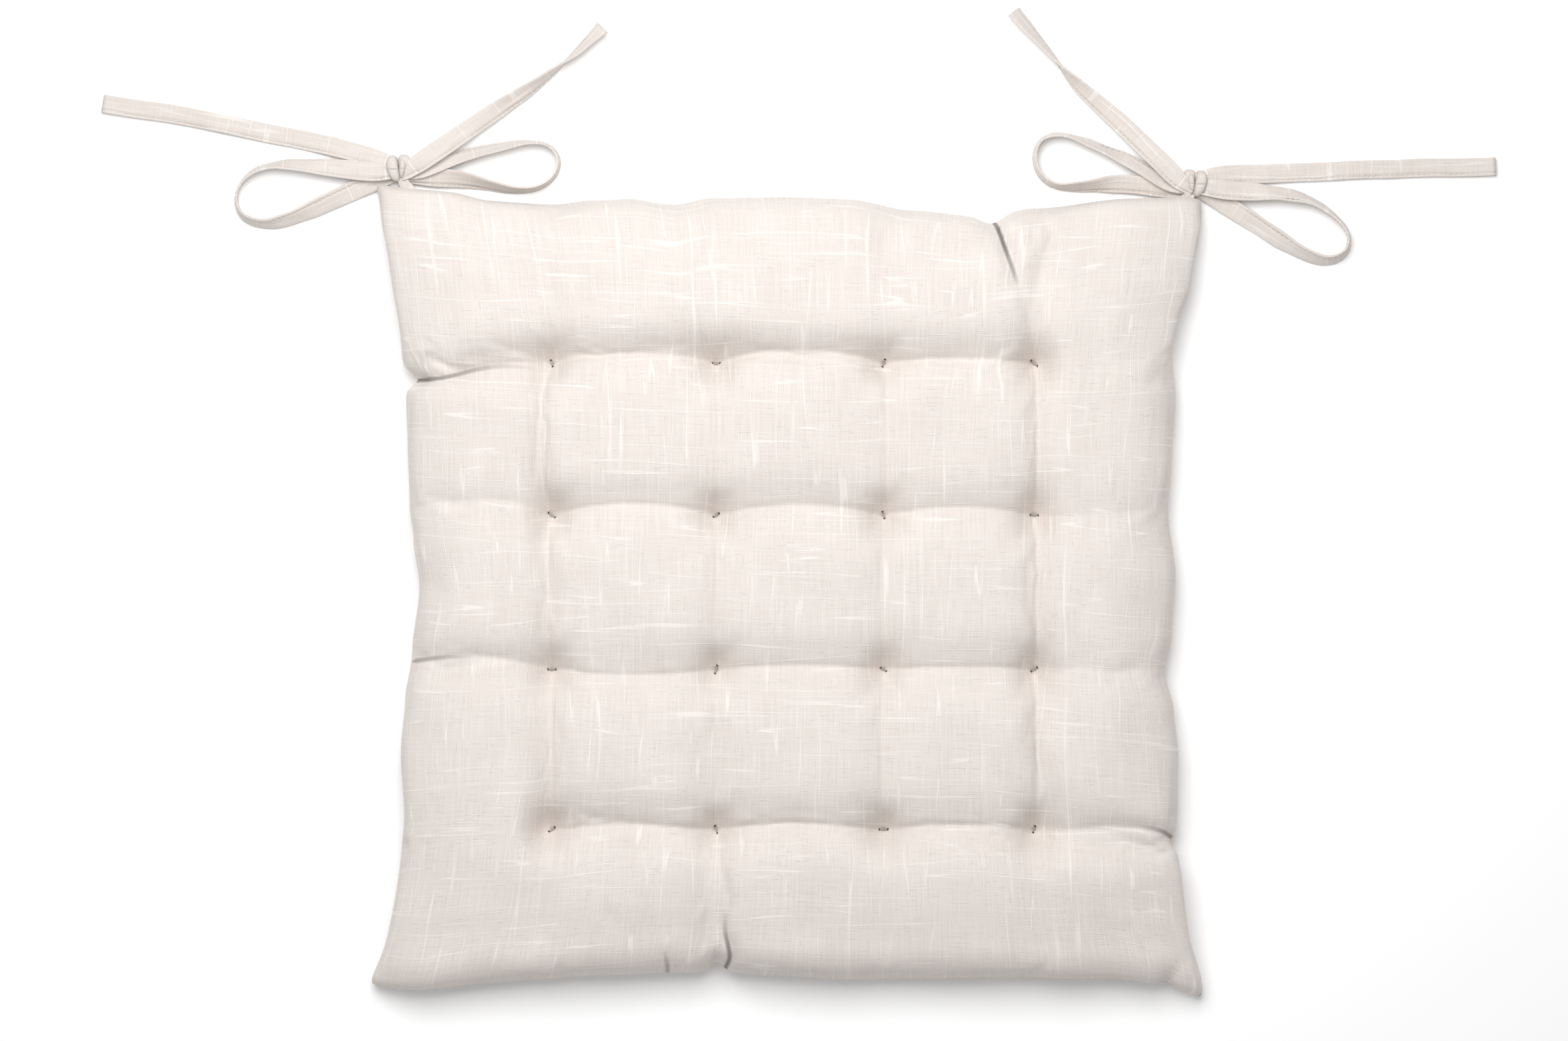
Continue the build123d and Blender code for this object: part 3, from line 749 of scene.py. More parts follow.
def crease_depth(plan, creases):
    """How far every plan position is pushed in by the creases."""
    flat = plan.reshape(-1, 2)
    total = np.zeros(len(flat))
    for points, depths, opening in creases:
        line = catmull(points) * MM
        reach_out = 6 * opening * MM
        low, high = line.min(0) - reach_out, line.max(0) + reach_out
        near = np.flatnonzero(((flat > low) & (flat < high)).all(1))
        best = np.full(len(near), 1.0)
        where = np.zeros(len(near))
        for k, (start, end) in enumerate(zip(line, line[1:])):
            run = end - start
            step = np.clip(((flat[near] - start) @ run) / (run @ run), 0, 1)
            distance = np.linalg.norm(flat[near] - start - step[:, None] * run, axis=1)
            closer = distance < best
            best[closer] = distance[closer]
            where[closer] = (k + step[closer]) / (len(line) - 1)
        depth = np.interp(where, (0, 0.5, 1), depths) * MM
        push = depth * np.exp(-best / (opening * MM) - 0.15 * (best / (opening * MM)) ** 2)
        total[near] = np.maximum(total[near], 0.0) + push - np.minimum(total[near], push) * 0.85
    return total.reshape(plan.shape[:2])


# Painted shade along the sharp folds, where the cloth touches itself in a gap too narrow for the mesh
# to
# shade: the plan points and how dark the painted shade is at each end and the middle.
PAINTED_FOLD_SHADE_LINES = [
    ([(97, 179.5), (99.8, 174), (103.2, 163), (107.8, 149), (109, 144)], (1, 1, 0)),
    ([(-175.5, 100.4), (-162, 101.2), (-146.4, 105), (-132, 106.6), (-117, 105.6)], (1, 0.6, 0)),
    ([(-28.8, -179.5), (-26.5, -172), (-28.6, -160), (-28.2, -150)], (1, 0.8, 0)),
    ([(185, -118), (177, -113), (165, -110.5), (150, -111)], (0.9, 0.5, 0)),
    ([(-176, -33), (-162, -31), (-147, -30.5)], (0.7, 0.5, 0)),
    ([(-56.4, -183), (-56, -176), (-57.6, -168)], (0.7, 0.5, 0)),
]


def painted_fold_shade_marks(plan):
    """For each plan position: how far it lies to one side of the nearest sharp fold, and how dark the
    painted shade along that fold is there.
    """
    flat = plan.reshape(-1, 2)
    offset, darkness = np.full(len(flat), 9.0), np.zeros(len(flat))
    for points, darks in PAINTED_FOLD_SHADE_LINES:
        line = catmull(points) * MM
        best = np.full(len(flat), 9 * MM)
        for k, (start, end) in enumerate(zip(line, line[1:])):
            run = end - start
            away = flat - start
            share = np.clip((away @ run) / (run @ run), 0, 1)
            distance = np.linalg.norm(away - share[:, None] * run, axis=1)
            closer = distance < best
            side = np.sign(run[0] * away[:, 1] - run[1] * away[:, 0])
            best[closer] = distance[closer]
            offset[closer] = (distance * side / MM)[closer]
            dark = np.interp((k + share) / (len(line) - 1), (0, 0.5, 1), darks) * (distance < 5 * MM)
            darkness[closer] = dark[closer]
    return offset, darkness


def dimple_depth(plan, wide, deep, seed):
    """The pull of each tuft, with its small pleats."""
    draw = np.random.default_rng(seed)
    total = np.zeros(plan.shape[:2])
    for tuft in TUFTS.values():
        off = plan - np.array([tuft.x, tuft.y])
        distance = np.hypot(off[..., 0], off[..., 1])
        angle = np.arctan2(off[..., 1], off[..., 0])
        pleats = sum(
            np.cos(k * angle + draw.uniform(0, 2 * math.pi)) * draw.uniform(0.1, 0.5) for k in (3, 5, 7)
        )
        total += deep * np.exp(-distance / wide)
        total += 0.35 * MM * pleats * np.exp(-(((distance - 7 * MM) / (7 * MM)) ** 2))
    return total


def unevenness(plan, seed, size, waves=14):
    """A soft irregular height of about +-size, from waves 35 to 110 mm long."""
    draw = np.random.default_rng(seed)
    total = np.zeros(plan.shape[:2])
    for _ in range(waves):
        length = draw.uniform(35, 110) * MM
        heading = draw.uniform(0, math.pi)
        along = plan[..., 0] * math.cos(heading) + plan[..., 1] * math.sin(heading)
        total += np.sin(2 * math.pi * along / length + draw.uniform(0, 2 * math.pi))
    return size * total / math.sqrt(waves / 2)


PAD_LINES = 221
PAD_WIDTH = 390 * MM
PAD_DEPTH = 385 * MM
CELL_TOP = 39.5 * MM
FRONT_ROLL = 2.4 * MM


def make_pad():
    """The padded cover: settled cloth, fitted to the plan, with its creases and tufts."""
    top, bottom = start_panels()
    top, bottom = settle(top, bottom)
    lines = pad_lines(PAD_LINES)
    maps = refine(np.dstack([A, B, FLAT_X, FLAT_Y]), lines)
    a, b = maps[..., 0], maps[..., 1]
    height = soften_side_valleys(top[..., 2].copy())
    i, j = bend_lines(*np.meshgrid(lines, lines, indexing="ij"))
    top, bottom = refine(top, lines), refine(bottom, lines)
    i, j = narrow_valleys(i, COLUMN_NARROWING), narrow_valleys(j, ROW_NARROWING)
    top[..., 2] = read_grid(height, i, j)
    lifted = lift_between_tufts(top.copy(), CELL_TOP)
    well_inside = smoothstep((np.minimum(np.minimum(a, 1 - a), np.minimum(b, 1 - b)) - 0.1) / 0.12)
    top[..., 2] += well_inside * (lifted[..., 2] - top[..., 2])
    top, bottom = fit_to_plan(top, bottom, a, b)

    from_front = b * PAD_DEPTH
    front_roll = np.exp(-(((from_front - 13 * MM) / (9 * MM)) ** 2))
    front_roll *= smoothstep(np.minimum(a, 1 - a) / 0.06)
    top[..., 2] += FRONT_ROLL * front_roll * (b > 0)
    edge = np.minimum(np.minimum(a, 1 - a), np.minimum(b, 1 - b)) * PAD_WIDTH
    inside = 1 - reach(edge, 9 * MM)
    plan = top[..., :2]
    creases = tuft_creases() + EDGE_CREASES
    push = crease_depth(plan, creases) + dimple_depth(plan, 3.6 * MM, 2.2 * MM, seed=4)
    push += unevenness(plan, 8, 0.45 * MM)
    seam_groove = 0.35 * MM * np.exp(-(((edge - 3.4 * MM) / (0.9 * MM)) ** 2))
    top[..., 2] -= push * np.clip(inside + 0.12, 0, 1) * (edge > 0) + seam_groove

    lower_plan = bottom[..., :2]
    lower_push = 0.5 * crease_depth(lower_plan, tuft_creases())
    lower_push += dimple_depth(lower_plan, 3.6 * MM, 1.0 * MM, seed=9)
    bottom[..., 2] += lower_push * inside
    bottom[..., 2] = np.maximum(bottom[..., 2], 0.2 * MM)
    thin = np.minimum(2.4 * MM, edge * 0.5)
    top[..., 2] = np.maximum(top[..., 2], bottom[..., 2] + thin)

    numbers = panel_numbers(PAD_LINES)
    weave_map = join_panels(maps[..., 2:], maps[..., 2:])
    points, faces = join_panels(top, bottom), panel_faces(*numbers)
    pad = new_object("pad_cover", points, faces, [cover_cloth], weave_map)
    ends = np.empty(len(pad.data.edges) * 2, int)
    pad.data.edges.foreach_get("vertices", ends)
    last = PAD_LINES - 1
    row, column = np.divmod(ends.reshape(-1, 2), PAD_LINES)
    in_top_panel = (ends.reshape(-1, 2) < PAD_LINES**2).all(1)
    ring = in_top_panel & (
        (row == 0).all(1) | (row == last).all(1) | (column == 0).all(1) | (column == last).all(1)
    )
    # The painted fold shade, stored on the top panel's points for the cloth material.
    for name, marks in zip(("fold_shade_offset", "painted_fold_shade_amount"), painted_fold_shade_marks(plan)):
        marks = marks.reshape(*plan.shape[:2], 1)
        layer = pad.data.attributes.new(name, "FLOAT", "POINT")
        layer.data.foreach_set("value", join_panels(marks, np.zeros_like(marks)).ravel())
    sharp = pad.data.attributes.new("sharp_edge", "BOOLEAN", "EDGE")
    sharp.data.foreach_set("value", ring)
    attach(pad, "pad")
    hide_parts("top_cover", "bottom_cover", "filling")
    return pad, top


pad, pad_top = make_pad()


pad_surface = BVHTree.FromPolygons(
    [vertex.co for vertex in pad.data.vertices], [face.vertices for face in pad.data.polygons]
)


def top_at(x, y):
    """The height of the finished top cover at a plan position."""
    return pad_surface.ray_cast(Vector((x, y, 0.1)), Vector((0, 0, -1)))[0].z


# ---------------------------------------------------------------- inside the seam
def seam_ring():
    """The pad's finished edge as one closed run of points, from the back left corner clockwise."""
    sides = (pad_top[:, -1], pad_top[-1, ::-1], pad_top[::-1, 0], pad_top[0])
    return np.concatenate([side[:-1] for side in sides])


def inset_ring(ring, inset):
    """A ring moved in towards the pad's middle by this much."""
    ahead = np.roll(ring, -3, axis=0) - np.roll(ring, 3, axis=0)
    inward = np.column_stack([ahead[:, 1], -ahead[:, 0], np.zeros(len(ring))])
    return ring + inward / np.linalg.norm(inward, axis=1)[:, None] * inset


# The turned-in edges' section: how far in from the seam, and how far above it, in millimetres.
TURNED_IN_SECTION = ((2.4, 0.3), (8.0, 0.8), (8.0, -0.8), (2.4, -0.3))


def make_seam():
    """The lockstitch round the pad, the part of it that is sewn last, and the turned-in edges."""
    ring = seam_ring()
    side = PAD_LINES - 1
    stitched = inset_ring(ring, 1.8 * MM)
    closing = range(int(side * 0.3), int(side * 0.7))
    rest = list(range(closing[-1] + 1, len(ring))) + list(range(closing[0]))
    for name, numbers in (("closing_stitch", closing), ("seam_thread", rest)):
        points, faces = tube(stitched[list(numbers)], 0.2 * MM, sides=6)
        piece = new_object(name + "_line", points, faces, [seam_thread])
        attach(piece, "pad")
        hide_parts(name)
    points = []
    for inset, lift in TURNED_IN_SECTION:
        points += list(inset_ring(ring, inset * MM) + np.array([0, 0, lift * MM]))
    count, bands = len(ring), len(TURNED_IN_SECTION)
    faces = band_faces([(k * count, (k + 1) % bands * count) for k in range(bands)], count)
    weave_map = [(p[0], p[1]) for p in points]
    allowance = new_object("turned_in_edges", points, faces, [cover_cloth], weave_map)
    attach(allowance, "pad")
    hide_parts("seam_allowance")


# ---------------------------------------------------------------- tuft stitches
def tube(path, radius, sides=7):
    """Points and faces of a closed round tube along a path."""
    points = []
    path = [Vector(p) for p in path]
    for i, here in enumerate(path):
        ahead = (path[min(i + 1, len(path) - 1)] - path[max(i - 1, 0)]).normalized()
        side = ahead.cross(Vector((0, 0, 1)))
        side = side.normalized() if side.length > 1e-6 else Vector((1, 0, 0))
        up = side.cross(ahead)
        for k in range(sides):
            turn = 2 * math.pi * k / sides
            points.append(here + (side * math.cos(turn) + up * math.sin(turn)) * radius)
    faces = band_faces([(i * sides, (i + 1) * sides) for i in range(len(path) - 1)], sides)
    faces.append(tuple(range(sides))[::-1])
    faces.append(tuple(range((len(path) - 1) * sides, len(path) * sides)))
    return points, faces


def band_faces(rings, count, turn=1):
    """The quads between pairs of rings of points. turn is -1 to face them the other way."""
    faces = []
    for near, far in rings:
        for k in range(count):
            step = (k + 1) % count
            faces.append((near + k, near + step, far + step, far + k)[::turn])
    return faces


def merge(parts):
    """One list of points and faces from several."""
    points, faces, owner = [], [], []
    for index, (part_points, part_faces) in enumerate(parts):
        faces += [tuple(n + len(points) for n in face) for face in part_faces]
        owner += [index] * len(part_faces)
        points += list(part_points)
    return points, faces, owner


make_seam()


def make_tuft(row, column):
    """A bar stitch of three strands between two needle holes, and the thread's run down from it into
    the pad.
    """
    place = TUFTS[row, column]
    node = f"tuft_{row}_{column}"
    angle = math.radians(37 * row + 71 * column)
    along = Vector((math.cos(angle), math.sin(angle), 0))
    across = Vector((-along.y, along.x, 0))
    half = (1.7 + 0.4 * ((row * 3 + column * 5) % 4) / 3) * MM
    surface = top_at(place.x, place.y)
    ends_high = max(top_at(*(place + along * half * end)[:2]) for end in (-1, 1))
    parts, kinds = [], []
    for strand in (-1, 0, 1):
        path = []
        for i in range(9):
            t = i / 4 - 1
            lift = (0.15 + 0.2 * (1 - t * t) - 0.7 * abs(t) ** 7) * MM
            twist = strand * 0.36 * MM * math.cos(2.2 * t)
            spot = Vector((place.x, place.y, 0)) + along * half * t + across * twist
            spot.z = top_at(spot.x, spot.y) * (1 - 0.35 * (1 - t * t)) + ends_high * 0.35 * (1 - t * t)
            path.append(spot + Vector((0, 0, lift + 0.1 * MM * math.sin(3 * t + strand))))
        parts.append(tube(path, 0.3 * MM))
        kinds.append(0)
    for end in (-1, 1):
        spot = Vector((place.x, place.y, 0)) + along * half * end * 1.05
        spot.z = top_at(spot.x, spot.y)
        rim = [spot + Vector((0, 0, z * MM)) for z in (-1.6, 0.16)]
        parts.append(tube(rim, 0.62 * MM, sides=10))
        kinds.append(1)
    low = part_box(node)[0]
    shaft = [Vector((place.x, place.y, low.z)), Vector((place.x, place.y, surface - 0.6 * MM))]
    parts.append(tube(shaft, 0.45 * MM))
    kinds.append(0)
    points, faces, owner = merge(parts)
    piece = new_object(f"tuft_stitch_{row}_{column}", points, faces, [tuft_thread, hole_shade])
    piece.data.polygons.foreach_set("material_index", [kinds[k] for k in owner])
    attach(piece, "pad")
    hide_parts(node)


for tuft_row, tuft_column in TUFTS:
    make_tuft(tuft_row, tuft_column)


# ---------------------------------------------------------------- ribbons
# Each route runs out from the knot. A point is x, y, z and the ribbon's roll in degrees: at 0 it
# lies flat, and at 90 it stands on its edge.
RIBBONS = {
    "left_outer_tail": [
        (-184.5, 203.4, 5.2, 0), (-188.5, 204.2, 5, 4), (-192, 205.2, 4.6, 8),
        (-204, 209.3, 2.8, 10), (-218, 213, 1.8, 4), (-233, 216.4, 1.5, -3), (-249, 219.2, 1.4, 0),
        (-265, 222.8, 1.5, 4), (-281, 226, 1.4, 2), (-297, 229, 1.4, -2), (-312, 230.8, 1.5, 2),
        (-326.8, 233.3, 1.8, 4),
    ],
    "left_inner_tail": [
        (-184, 199.4, 6.4, 10), (-180.4, 200.6, 7.6, 14), (-176.5, 203.2, 8.6, 10),
        (-168, 209, 8.6, 4), (-157.5, 216.3, 7, 6), (-146, 224.6, 5.2, 14), (-133.5, 233.2, 4, 34),
        (-121, 241.2, 4.4, 54), (-110.5, 249.2, 5, 84), (-100.5, 257, 4.8, 114),
        (-93, 264.6, 4.3, 130), (-87.6, 269.6, 3.8, 142),
    ],
    "left_outer_loop": [
        (-184.2, 201, 5.8, 0), (-188.2, 200.4, 6.4, 0), (-193, 200.2, 6.6, -2),
        (-201, 200.4, 6.4, 2), (-213, 201.8, 5.8, 12), (-227, 203, 5, 38), (-243, 204.2, 4.6, 64),
        (-256.5, 200.5, 4.4, 76), (-263.5, 190, 4.4, 82), (-261, 179, 4.4, 76),
        (-249.5, 175, 4.2, 66), (-238, 177.6, 3.8, 50), (-226, 182.8, 3.2, 34),
        (-214, 188.4, 2.6, 22), (-203, 193.4, 2.4, 14), (-194, 197, 2.8, 10),
        (-186.6, 199.4, 3.2, 8),
    ],
    "left_inner_loop": [
        (-184, 200, 3.8, -18), (-178, 199.6, 4, -22), (-168, 203, 4.2, -34),
        (-159, 206.6, 4.2, -42), (-148.5, 209.6, 4.2, -48), (-137, 212, 4.3, -60),
        (-124.5, 214.6, 4.4, -76), (-113.5, 213.8, 4.4, -82), (-108, 206.8, 4.4, -84),
        (-110.4, 198.2, 4.4, -84), (-118.5, 192.4, 4.4, -80), (-130, 191.6, 4.3, -76),
        (-142, 194.4, 4.2, -64), (-155, 197.2, 4, -34), (-167, 197.8, 3.4, -18),
        (-176, 197.8, 3.2, -14), (-180.8, 198.1, 3.2, -12),
    ],
    "right_outer_tail": [
        (195, 196.4, 5.2, 0), (199, 197.2, 5, -4), (202.6, 198.1, 4.6, -8), (213, 199.3, 2.9, -9),
        (226, 199.4, 1.8, -4), (241, 200.2, 1.5, 3), (257, 200.6, 1.4, 0), (273, 201.7, 1.5, -3),
        (290, 201.9, 1.4, 2), (307, 202.7, 1.4, 2), (324, 202.6, 1.5, -2), (339.8, 203.2, 1.8, -4),
    ],
    "right_inner_tail": [
        (194.4, 192.2, 6.4, -10), (191, 193.4, 7.6, -14), (187.1, 196.2, 8.6, -10),
        (180.5, 203.3, 8.8, -4), (171.5, 212, 7.6, -5), (162, 221.8, 5.6, -12), (152, 231, 4, -30),
        (142, 239.8, 4.4, -52), (132.9, 249.2, 5, -84), (125.2, 258.8, 4.8, -112),
        (116.5, 268.6, 4.3, -128), (109.1, 277.2, 3.8, -140),
    ],
    "right_outer_loop": [
        (194.6, 193.6, 5.8, 0), (198.6, 193, 6.4, 0), (204, 192.4, 6.6, 2), (213, 191.2, 6.2, -6),
        (226, 190.6, 5.4, -22), (239, 189.6, 4.8, -48), (251, 187, 4.5, -62),
        (262, 180.2, 4.4, -72), (269.8, 171, 4.4, -80), (268.5, 161.5, 4.4, -74),
        (259.5, 157.3, 4.3, -66), (248, 161, 4, -52), (236.5, 168, 3.4, -38),
        (225.5, 175.4, 2.8, -26), (214.5, 182.4, 2.5, -16), (205.5, 188, 2.8, -12),
        (197.4, 191.4, 3.2, -8),
    ],
    "right_inner_loop": [
        (194.4, 192.8, 3.8, 18), (187.6, 193.2, 4, 22), (178, 197.6, 4.2, 32),
        (171, 201.8, 4.2, 38), (162.5, 206.4, 4.2, 44), (152, 211, 4.3, 56), (142, 215.3, 4.4, 68),
        (130.5, 218.8, 4.4, 78), (121.5, 216, 4.4, 84), (118.6, 207.5, 4.4, 84),
        (121.4, 198.8, 4.4, 82), (128.8, 193.4, 4.4, 78), (140, 193.4, 4.2, 66),
        (153, 194.8, 3.9, 36), (165, 194.8, 3.4, 20), (177, 193.2, 3.2, 14), (187, 192, 3.2, 12),
        (192.4, 191.8, 3.2, 10),
    ],
}
RIBBON_WIDTH = 8.8 * MM
RIBBON_EXTRA = 1.1 * MM
RIBBON_THICK = 1.3 * MM
CORD_WIDTH = 8.6 * MM
STITCH_PITCH = 2.6 * MM
STITCH_INSET = 1.5 * MM
# The edge that carries the topstitching: 1 is the left of the way the ribbon runs.
STITCHED_EDGE = {
    "left_outer_tail": 1, "left_inner_tail": -1, "left_outer_loop": 1, "left_inner_loop": 1,
    "right_outer_tail": -1, "right_inner_tail": 1, "right_outer_loop": -1, "right_inner_loop": -1,
}


def smooth_route(name, points):
    """Points along the route's NURBS spline, close together."""
    curve = bpy.data.curves.new(name + "_route", "CURVE")
    curve.dimensions = "3D"
    spline = curve.splines.new("NURBS")
    spline.points.add(len(points) - 1)
    for point, (x, y, z, _) in zip(spline.points, points):
        point.co = (x * MM, y * MM, z * MM, 1)
    spline.order_u = 3
    spline.use_endpoint_u = True
    spline.resolution_u = 12
    holder = bpy.data.objects.new(name + "_route", curve)
    bpy.context.scene.collection.objects.link(holder)
    line = bpy.data.meshes.new_from_object(holder)
    route = np.array([vertex.co for vertex in line.vertices], float)
    bpy.data.objects.remove(holder)
    return route


def along_route(route):
    """The length from the start to each point of a route."""
    return np.concatenate([[0], np.cumsum(np.linalg.norm(np.diff(route, axis=0), axis=1))])


def frames_along(route, points):
    """For each point of a route: the ways across and through the ribbon, and the length so far."""
    ahead = np.gradient(route, axis=0)
    ahead /= np.linalg.norm(ahead, axis=1)[:, None]
    level = np.column_stack([-ahead[:, 1], ahead[:, 0], np.zeros(len(ahead))])
    level /= np.linalg.norm(level, axis=1)[:, None]
    lift = np.cross(ahead, level)
    run = along_route(route)
    hand = np.array([p[:3] for p in points]) * MM
    stations = [run[np.argmin(np.linalg.norm(route - h, axis=1))] for h in hand]
    roll = np.radians(np.interp(run, stations, [p[3] for p in points]))
    across = level * np.cos(roll)[:, None] + lift * np.sin(roll)[:, None]
    through = np.cross(ahead, across)
    return across, through, run


def section(stitched):
    """The closed outline of the ribbon's section, as shares of its half-width and half-thickness.

    The dip near one edge is the stitched line, on the side that stitched says: 1 or -1.
    """
    dip = 1 - 2 * STITCH_INSET / RIBBON_WIDTH
    upper = [
        (1.0, 0.0), (0.985, 0.55), (0.93, 0.92), (dip + 0.07, 0.98), (dip, 0.3), (dip - 0.08, 1.02),
        (0.3, 1.06), (-0.15, 1.0), (-0.6, 1.03), (-0.9, 0.88), (-0.98, 0.5),
    ]
    lower = [(x, -y) for x, y in reversed(upper[1:])]
    outline = upper + [(-1.0, 0.0)] + lower
    return [(x * stitched, y) for x, y in outline]


def make_ribbon(name, side, which):
    """One stretch of a tie: a folded, topstitched ribbon along its route, with its stitches."""
    points = RIBBONS[name]
    route = smooth_route(name, points)
    across, through, run = frames_along(route, points)
    is_tail = which.endswith("tail")
    from_knot = run if is_tail else np.minimum(run, run[-1] - run)
    near_knot = np.exp(-((from_knot / (9 * MM)) ** 2))
    width = (RIBBON_WIDTH + RIBBON_EXTRA * np.exp(-from_knot / (30 * MM))) * (1 - 0.3 * near_knot)
    draw = np.random.default_rng(sum(map(ord, name)))
    ripple = np.zeros_like(run)
    for _ in range(4):
        wave = 2 * math.pi * run / (draw.uniform(14, 45) * MM)
        ripple += 0.16 * MM * np.sin(wave + draw.uniform(0, 6.28))
    tip = np.exp(-(run[-1] - run) / (3 * MM)) if is_tail else np.zeros_like(run)
    half_thick = RIBBON_THICK / 2 * (1 + 0.8 * tip + 0.5 * near_knot)
    outline = section(STITCHED_EDGE[name])
    count = len(outline)
    body, weave_map = [], []
    for i in range(len(route)):
        for x, y in outline:
            pleat = 0.85 * MM * near_knot[i] * math.sin(4.2 * x + 0.6)
            curl = 0.25 * MM * x * x + ripple[i] * math.sin(1.6 * x + 9 * i / len(route))
            out = half_thick[i] * y + pleat + curl
            body.append(route[i] + across[i] * (width[i] / 2 * x) + through[i] * out)
            weave_map.append((x * width[i] / 2 + 0.01 * len(name), run[i]))
    turn = STITCHED_EDGE[name]
    faces = band_faces([(i * count, (i + 1) * count) for i in range(len(route) - 1)], count, turn)
    last = (len(route) - 1) * count
    if is_tail:
        rings = []
        ahead = (route[-1] - route[-2]) / np.linalg.norm(route[-1] - route[-2])
        for shrink, back in ((0.86, 0.0), (0.8, 1.6 * MM)):
            start = len(body)
            for x, y in outline:
                spot = route[-1] + across[-1] * (width[-1] / 2 * x * (0.97 if shrink > 0.8 else 0.93))
                out = half_thick[-1] * y * shrink * 0.8 + 0.25 * MM * x * x
                body.append(spot + through[-1] * out - ahead * back)
                weave_map.append((x * width[-1] / 2, run[-1] + back))
            rings.append(start)
        faces += band_faces([(last, rings[0]), (rings[0], rings[1])], count, turn)
        last = rings[1]
    faces.append(tuple(range(count))[::-turn])
    faces.append(tuple(range(last, last + count))[::turn])
    ribbon = new_object(name + "_ribbon", body, faces, [tie_cloth], weave_map)

    stitches = make_stitches(name, route, across, through, run, width, half_thick)
    place_ribbon(ribbon, stitches, name, side, which)
    return ribbon


def make_stitches(name, route, across, through, run, width, half_thick):
    """The row of topstitches, one short raised thread after another, on both faces."""
    parts = []
    margin = 8 * MM
    count = int((run[-1] - 2 * margin) / STITCH_PITCH)
    for n in range(count):
        start = margin + n * STITCH_PITCH
        path_up, path_down = [], []
        for share in (0.0, 0.25, 0.5, 0.75, 1.0):
            at = start + share * STITCH_PITCH * 0.74
            i = int(np.clip(np.searchsorted(run, at) - 1, 0, len(run) - 2))
            f = (at - run[i]) / (run[i + 1] - run[i])
            spot = route[i] * (1 - f) + route[i + 1] * f
            inset = STITCHED_EDGE[name] * (width[i] / 2 - STITCH_INSET)
            spot = spot + across[i] * inset
            arch = (0.8 - 0.42 * (2 * share - 1) ** 2) * half_thick[i] + 0.12 * MM
            path_up.append(spot + through[i] * (arch + 0.1 * MM))
            path_down.append(spot - through[i] * (arch - 0.1 * MM))
        parts.append(tube(path_up, 0.26 * MM, sides=5))
        parts.append(tube(path_down, 0.26 * MM, sides=5))
    points, faces, _ = merge(parts)
    return new_object(name + "_topstitch", points, faces, [seam_thread])


def place_ribbon(ribbon, stitches, name, side, which):
    """Puts the loops and their stitches on their bow's body, bakes the tails and their stitches in
    place, and hides the frame's parts for the stretch.
    """
    if which.endswith("tail"):
        for piece in (ribbon, stitches):
            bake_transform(piece)
    else:
        for piece in (ribbon, stitches):
            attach(piece, f"{side}_bow")
    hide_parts(name)
    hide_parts(name + "_stitch")


# ---------------------------------------------------------------- knots and roots
def wrap(middle, half_y, half_z, width, thick, lean, bow, squeeze):
    """A puffy band wound once round the ribbons, leaning and bowed sideways."""
    points, weave_map, faces = [], [], []
    around, section_count = 44, 12
    for i in range(around):
        turn = 2 * math.pi * i / around
        y, z = math.sin(turn), math.cos(turn)
        narrow = 1 - squeeze * y * y
        centre = Vector(middle) + Vector((bow * z + lean * y, half_y * y, half_z * z))
        outward = Vector((0, y / half_y, z / half_z)).normalized()
        for k in range(section_count):
            around_section = 2 * math.pi * k / section_count
            side = math.cos(around_section) * width / 2 * narrow
            out = math.sin(around_section) * thick / 2 * (1 + 0.12 * math.sin(3 * turn + k))
            points.append(centre + Vector((side, 0, 0)) + outward * out)
            weave_map.append((side + 0.03 * out / thick, i / around * 34 * MM))
    for i in range(around):
        for k in range(section_count):
            ahead, step = (i + 1) % around, (k + 1) % section_count
            faces.append((i * section_count + k, ahead * section_count + k,
                          ahead * section_count + step, i * section_count + step))
    return points, faces, weave_map


# One bow's wraps, for the left knot: offset along x and y, half-height across, half-height up,
# width, thickness, lean, bow and how much it narrows to its ends, in millimetres.
WRAPS = {
    "main": (-2.2, 0.1, 5.1, 4.0, 5.6, 2.6, -0.9, -0.9, 0.35),
    "cross": (1.0, 0.4, 4.0, 4.2, 3.0, 2.0, 0.3, 0.5, 0.45),
    "back": (2.6, 1.4, 4.5, 2.4, 6.4, 2.2, -0.6, 0.2, 0.25),
}


def make_knot(side):
    """The tied knot, as the three turns of ribbon that can be seen."""
    middle = middle_of(f"{side}_knot")
    mirror = 1 if side == "left" else -1
    pieces = []
    for part, (dx, dy, half_y, half_z, width, thick, lean, bow, squeeze) in WRAPS.items():
        centre = (middle.x + mirror * dx * MM, middle.y + dy * MM, middle.z - 0.1 * MM)
        points, faces, weave_map = wrap(
            centre, half_y * MM, half_z * MM, width * MM, thick * MM,
            mirror * lean * MM, mirror * bow * MM, squeeze,
        )
        piece = new_object(f"{side}_knot_{part}", points, faces, [tie_cloth], weave_map)
        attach(piece, f"{side}_bow")
        if part == "main":
            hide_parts(f"{side}_knot")
        pieces.append(piece)
    return pieces


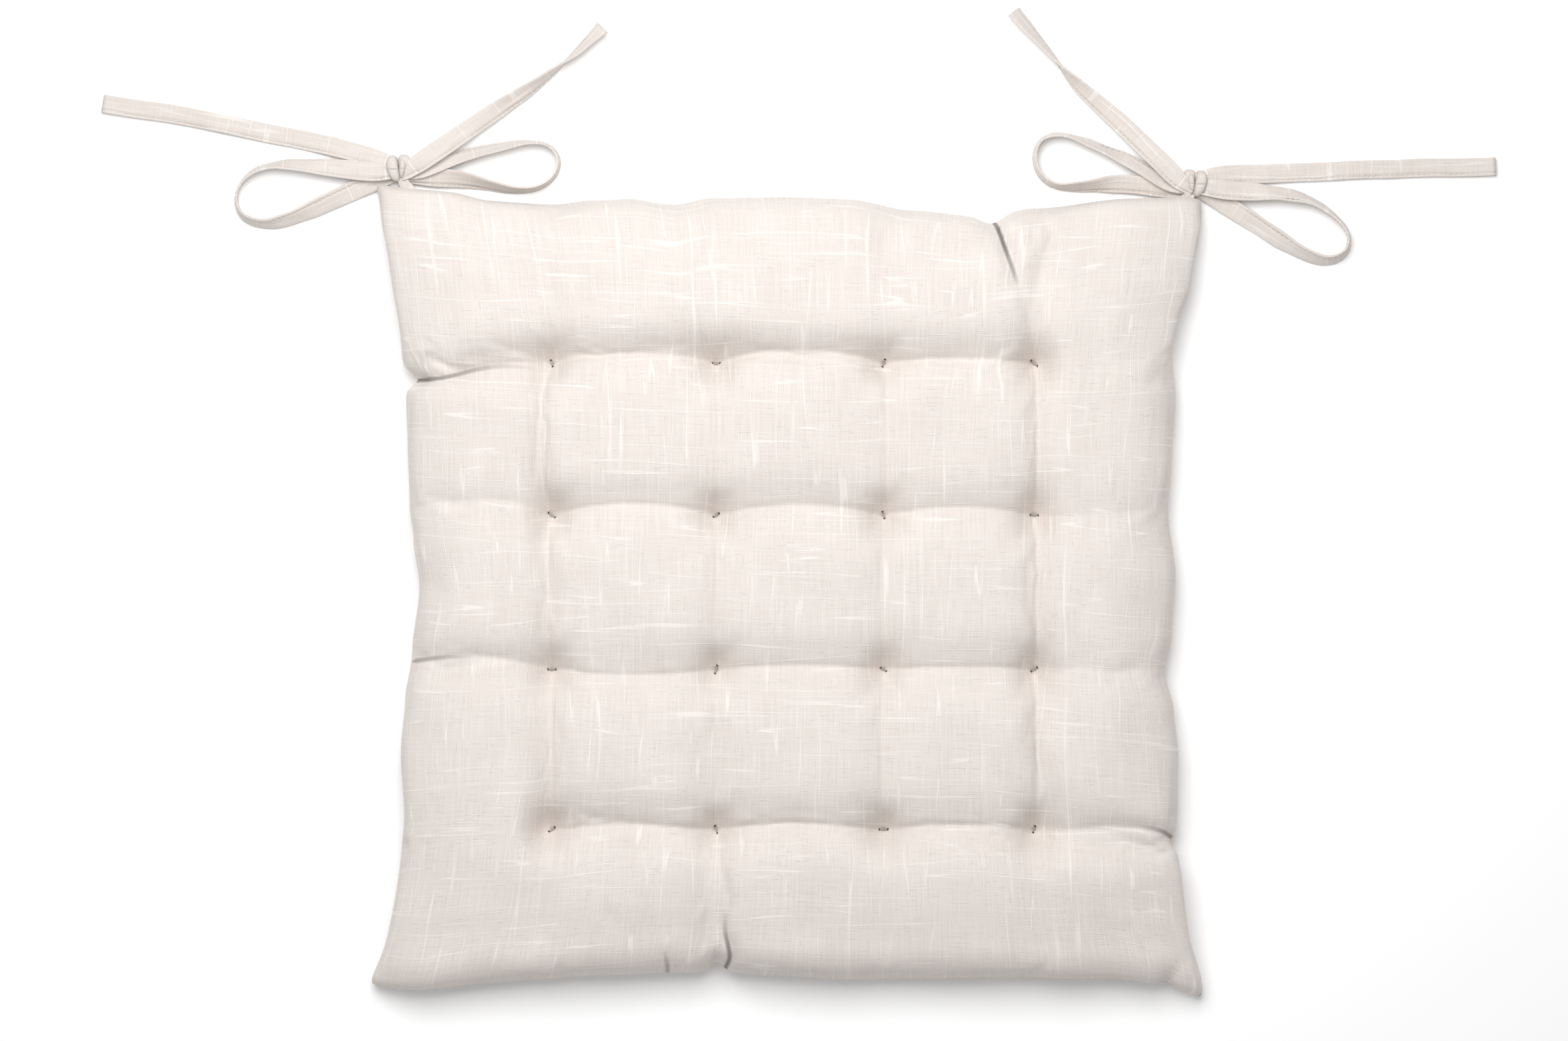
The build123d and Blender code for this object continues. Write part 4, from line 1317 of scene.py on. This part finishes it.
def make_root(side):
    """The stretch of ribbon from inside the seam to the knot."""
    knot = middle_of(f"{side}_knot")
    low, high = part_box(f"{side}_tie_root")
    root = (low + high) / 2
    points = [
        (root.x / MM, low.y / MM, root.z / MM, 0),
        (root.x / MM, (root.y + 3 * MM) / MM, root.z / MM, 0),
        ((root.x + knot.x) / 2 / MM, high.y / MM + 1, root.z / MM - 2.2, 0),
        (knot.x / MM, knot.y / MM - 1.5, knot.z / MM - 1.8, 0),
    ]
    route = smooth_route(f"{side}_root", points)
    across, through, run = frames_along(route, points)
    outline = section(1)
    body, weave_map = [], []
    for i in range(len(route)):
        gather = 0.86 - 0.4 * run[i] / run[-1]
        for x, y in outline:
            pleat = 0.5 * MM * math.sin(4 * x) * (run[i] / run[-1])
            out = RIBBON_THICK / 2 * y + pleat
            body.append(route[i] + across[i] * (CORD_WIDTH / 2 * x * gather) + through[i] * out)
            weave_map.append((x * CORD_WIDTH / 2, run[i]))
    count = len(outline)
    faces = band_faces([(i * count, (i + 1) * count) for i in range(len(route) - 1)], count)
    faces.append(tuple(range(count))[::-1])
    faces.append(tuple(range((len(route) - 1) * count, len(route) * count)))
    piece = new_object(f"{side}_root_ribbon", body, faces, [tie_cloth], weave_map)
    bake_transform(piece)
    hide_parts(f"{side}_tie_root")


for tie_side in ("left", "right"):
    make_knot(tie_side)
    make_root(tie_side)
    for stretch in ("outer_tail", "inner_tail", "outer_loop", "inner_loop"):
        make_ribbon(f"{tie_side}_{stretch}", tie_side, stretch)


# ---------------------------------------------------------------- studio
floor_corners = [(-4, -4, 0), (4, -4, 0), (4, 4, 0), (-4, 4, 0)]
floor = new_object("floor", floor_corners, [(0, 1, 2, 3)], [floor_finish()])

world = bpy.data.worlds.new("studio")
world.use_nodes = True
world.node_tree.nodes["Background"].inputs[0].default_value = (1, 1, 1, 1)
world.node_tree.nodes["Background"].inputs[1].default_value = 0.47
bpy.context.scene.world = world
bpy.context.scene.view_settings.view_transform = "Standard"


def area_light(name, place, aim, size, power):
    data = bpy.data.lights.new(name, "AREA")
    data.size = size
    data.energy = power
    lamp = bpy.data.objects.new(name, data)
    lamp.location = place
    lamp.rotation_euler = (Vector(aim) - Vector(place)).to_track_quat("-Z", "Y").to_euler()
    bpy.context.scene.collection.objects.link(lamp)


area_light("window", (-0.1, 0.42, 1.0), (0, 0, 0), 0.7, 11.1)

VIEW_WIDTH = 0.7513
VIEW_CENTRE = (-0.0008, 0.0337)
camera_data = bpy.data.cameras.new("camera")
camera_data.lens = 95
camera_data.sensor_width = 36
camera = bpy.data.objects.new("camera", camera_data)
camera.location = (*VIEW_CENTRE, VIEW_WIDTH * camera_data.lens / camera_data.sensor_width)
bpy.context.scene.collection.objects.link(camera)
bpy.context.scene.camera = camera
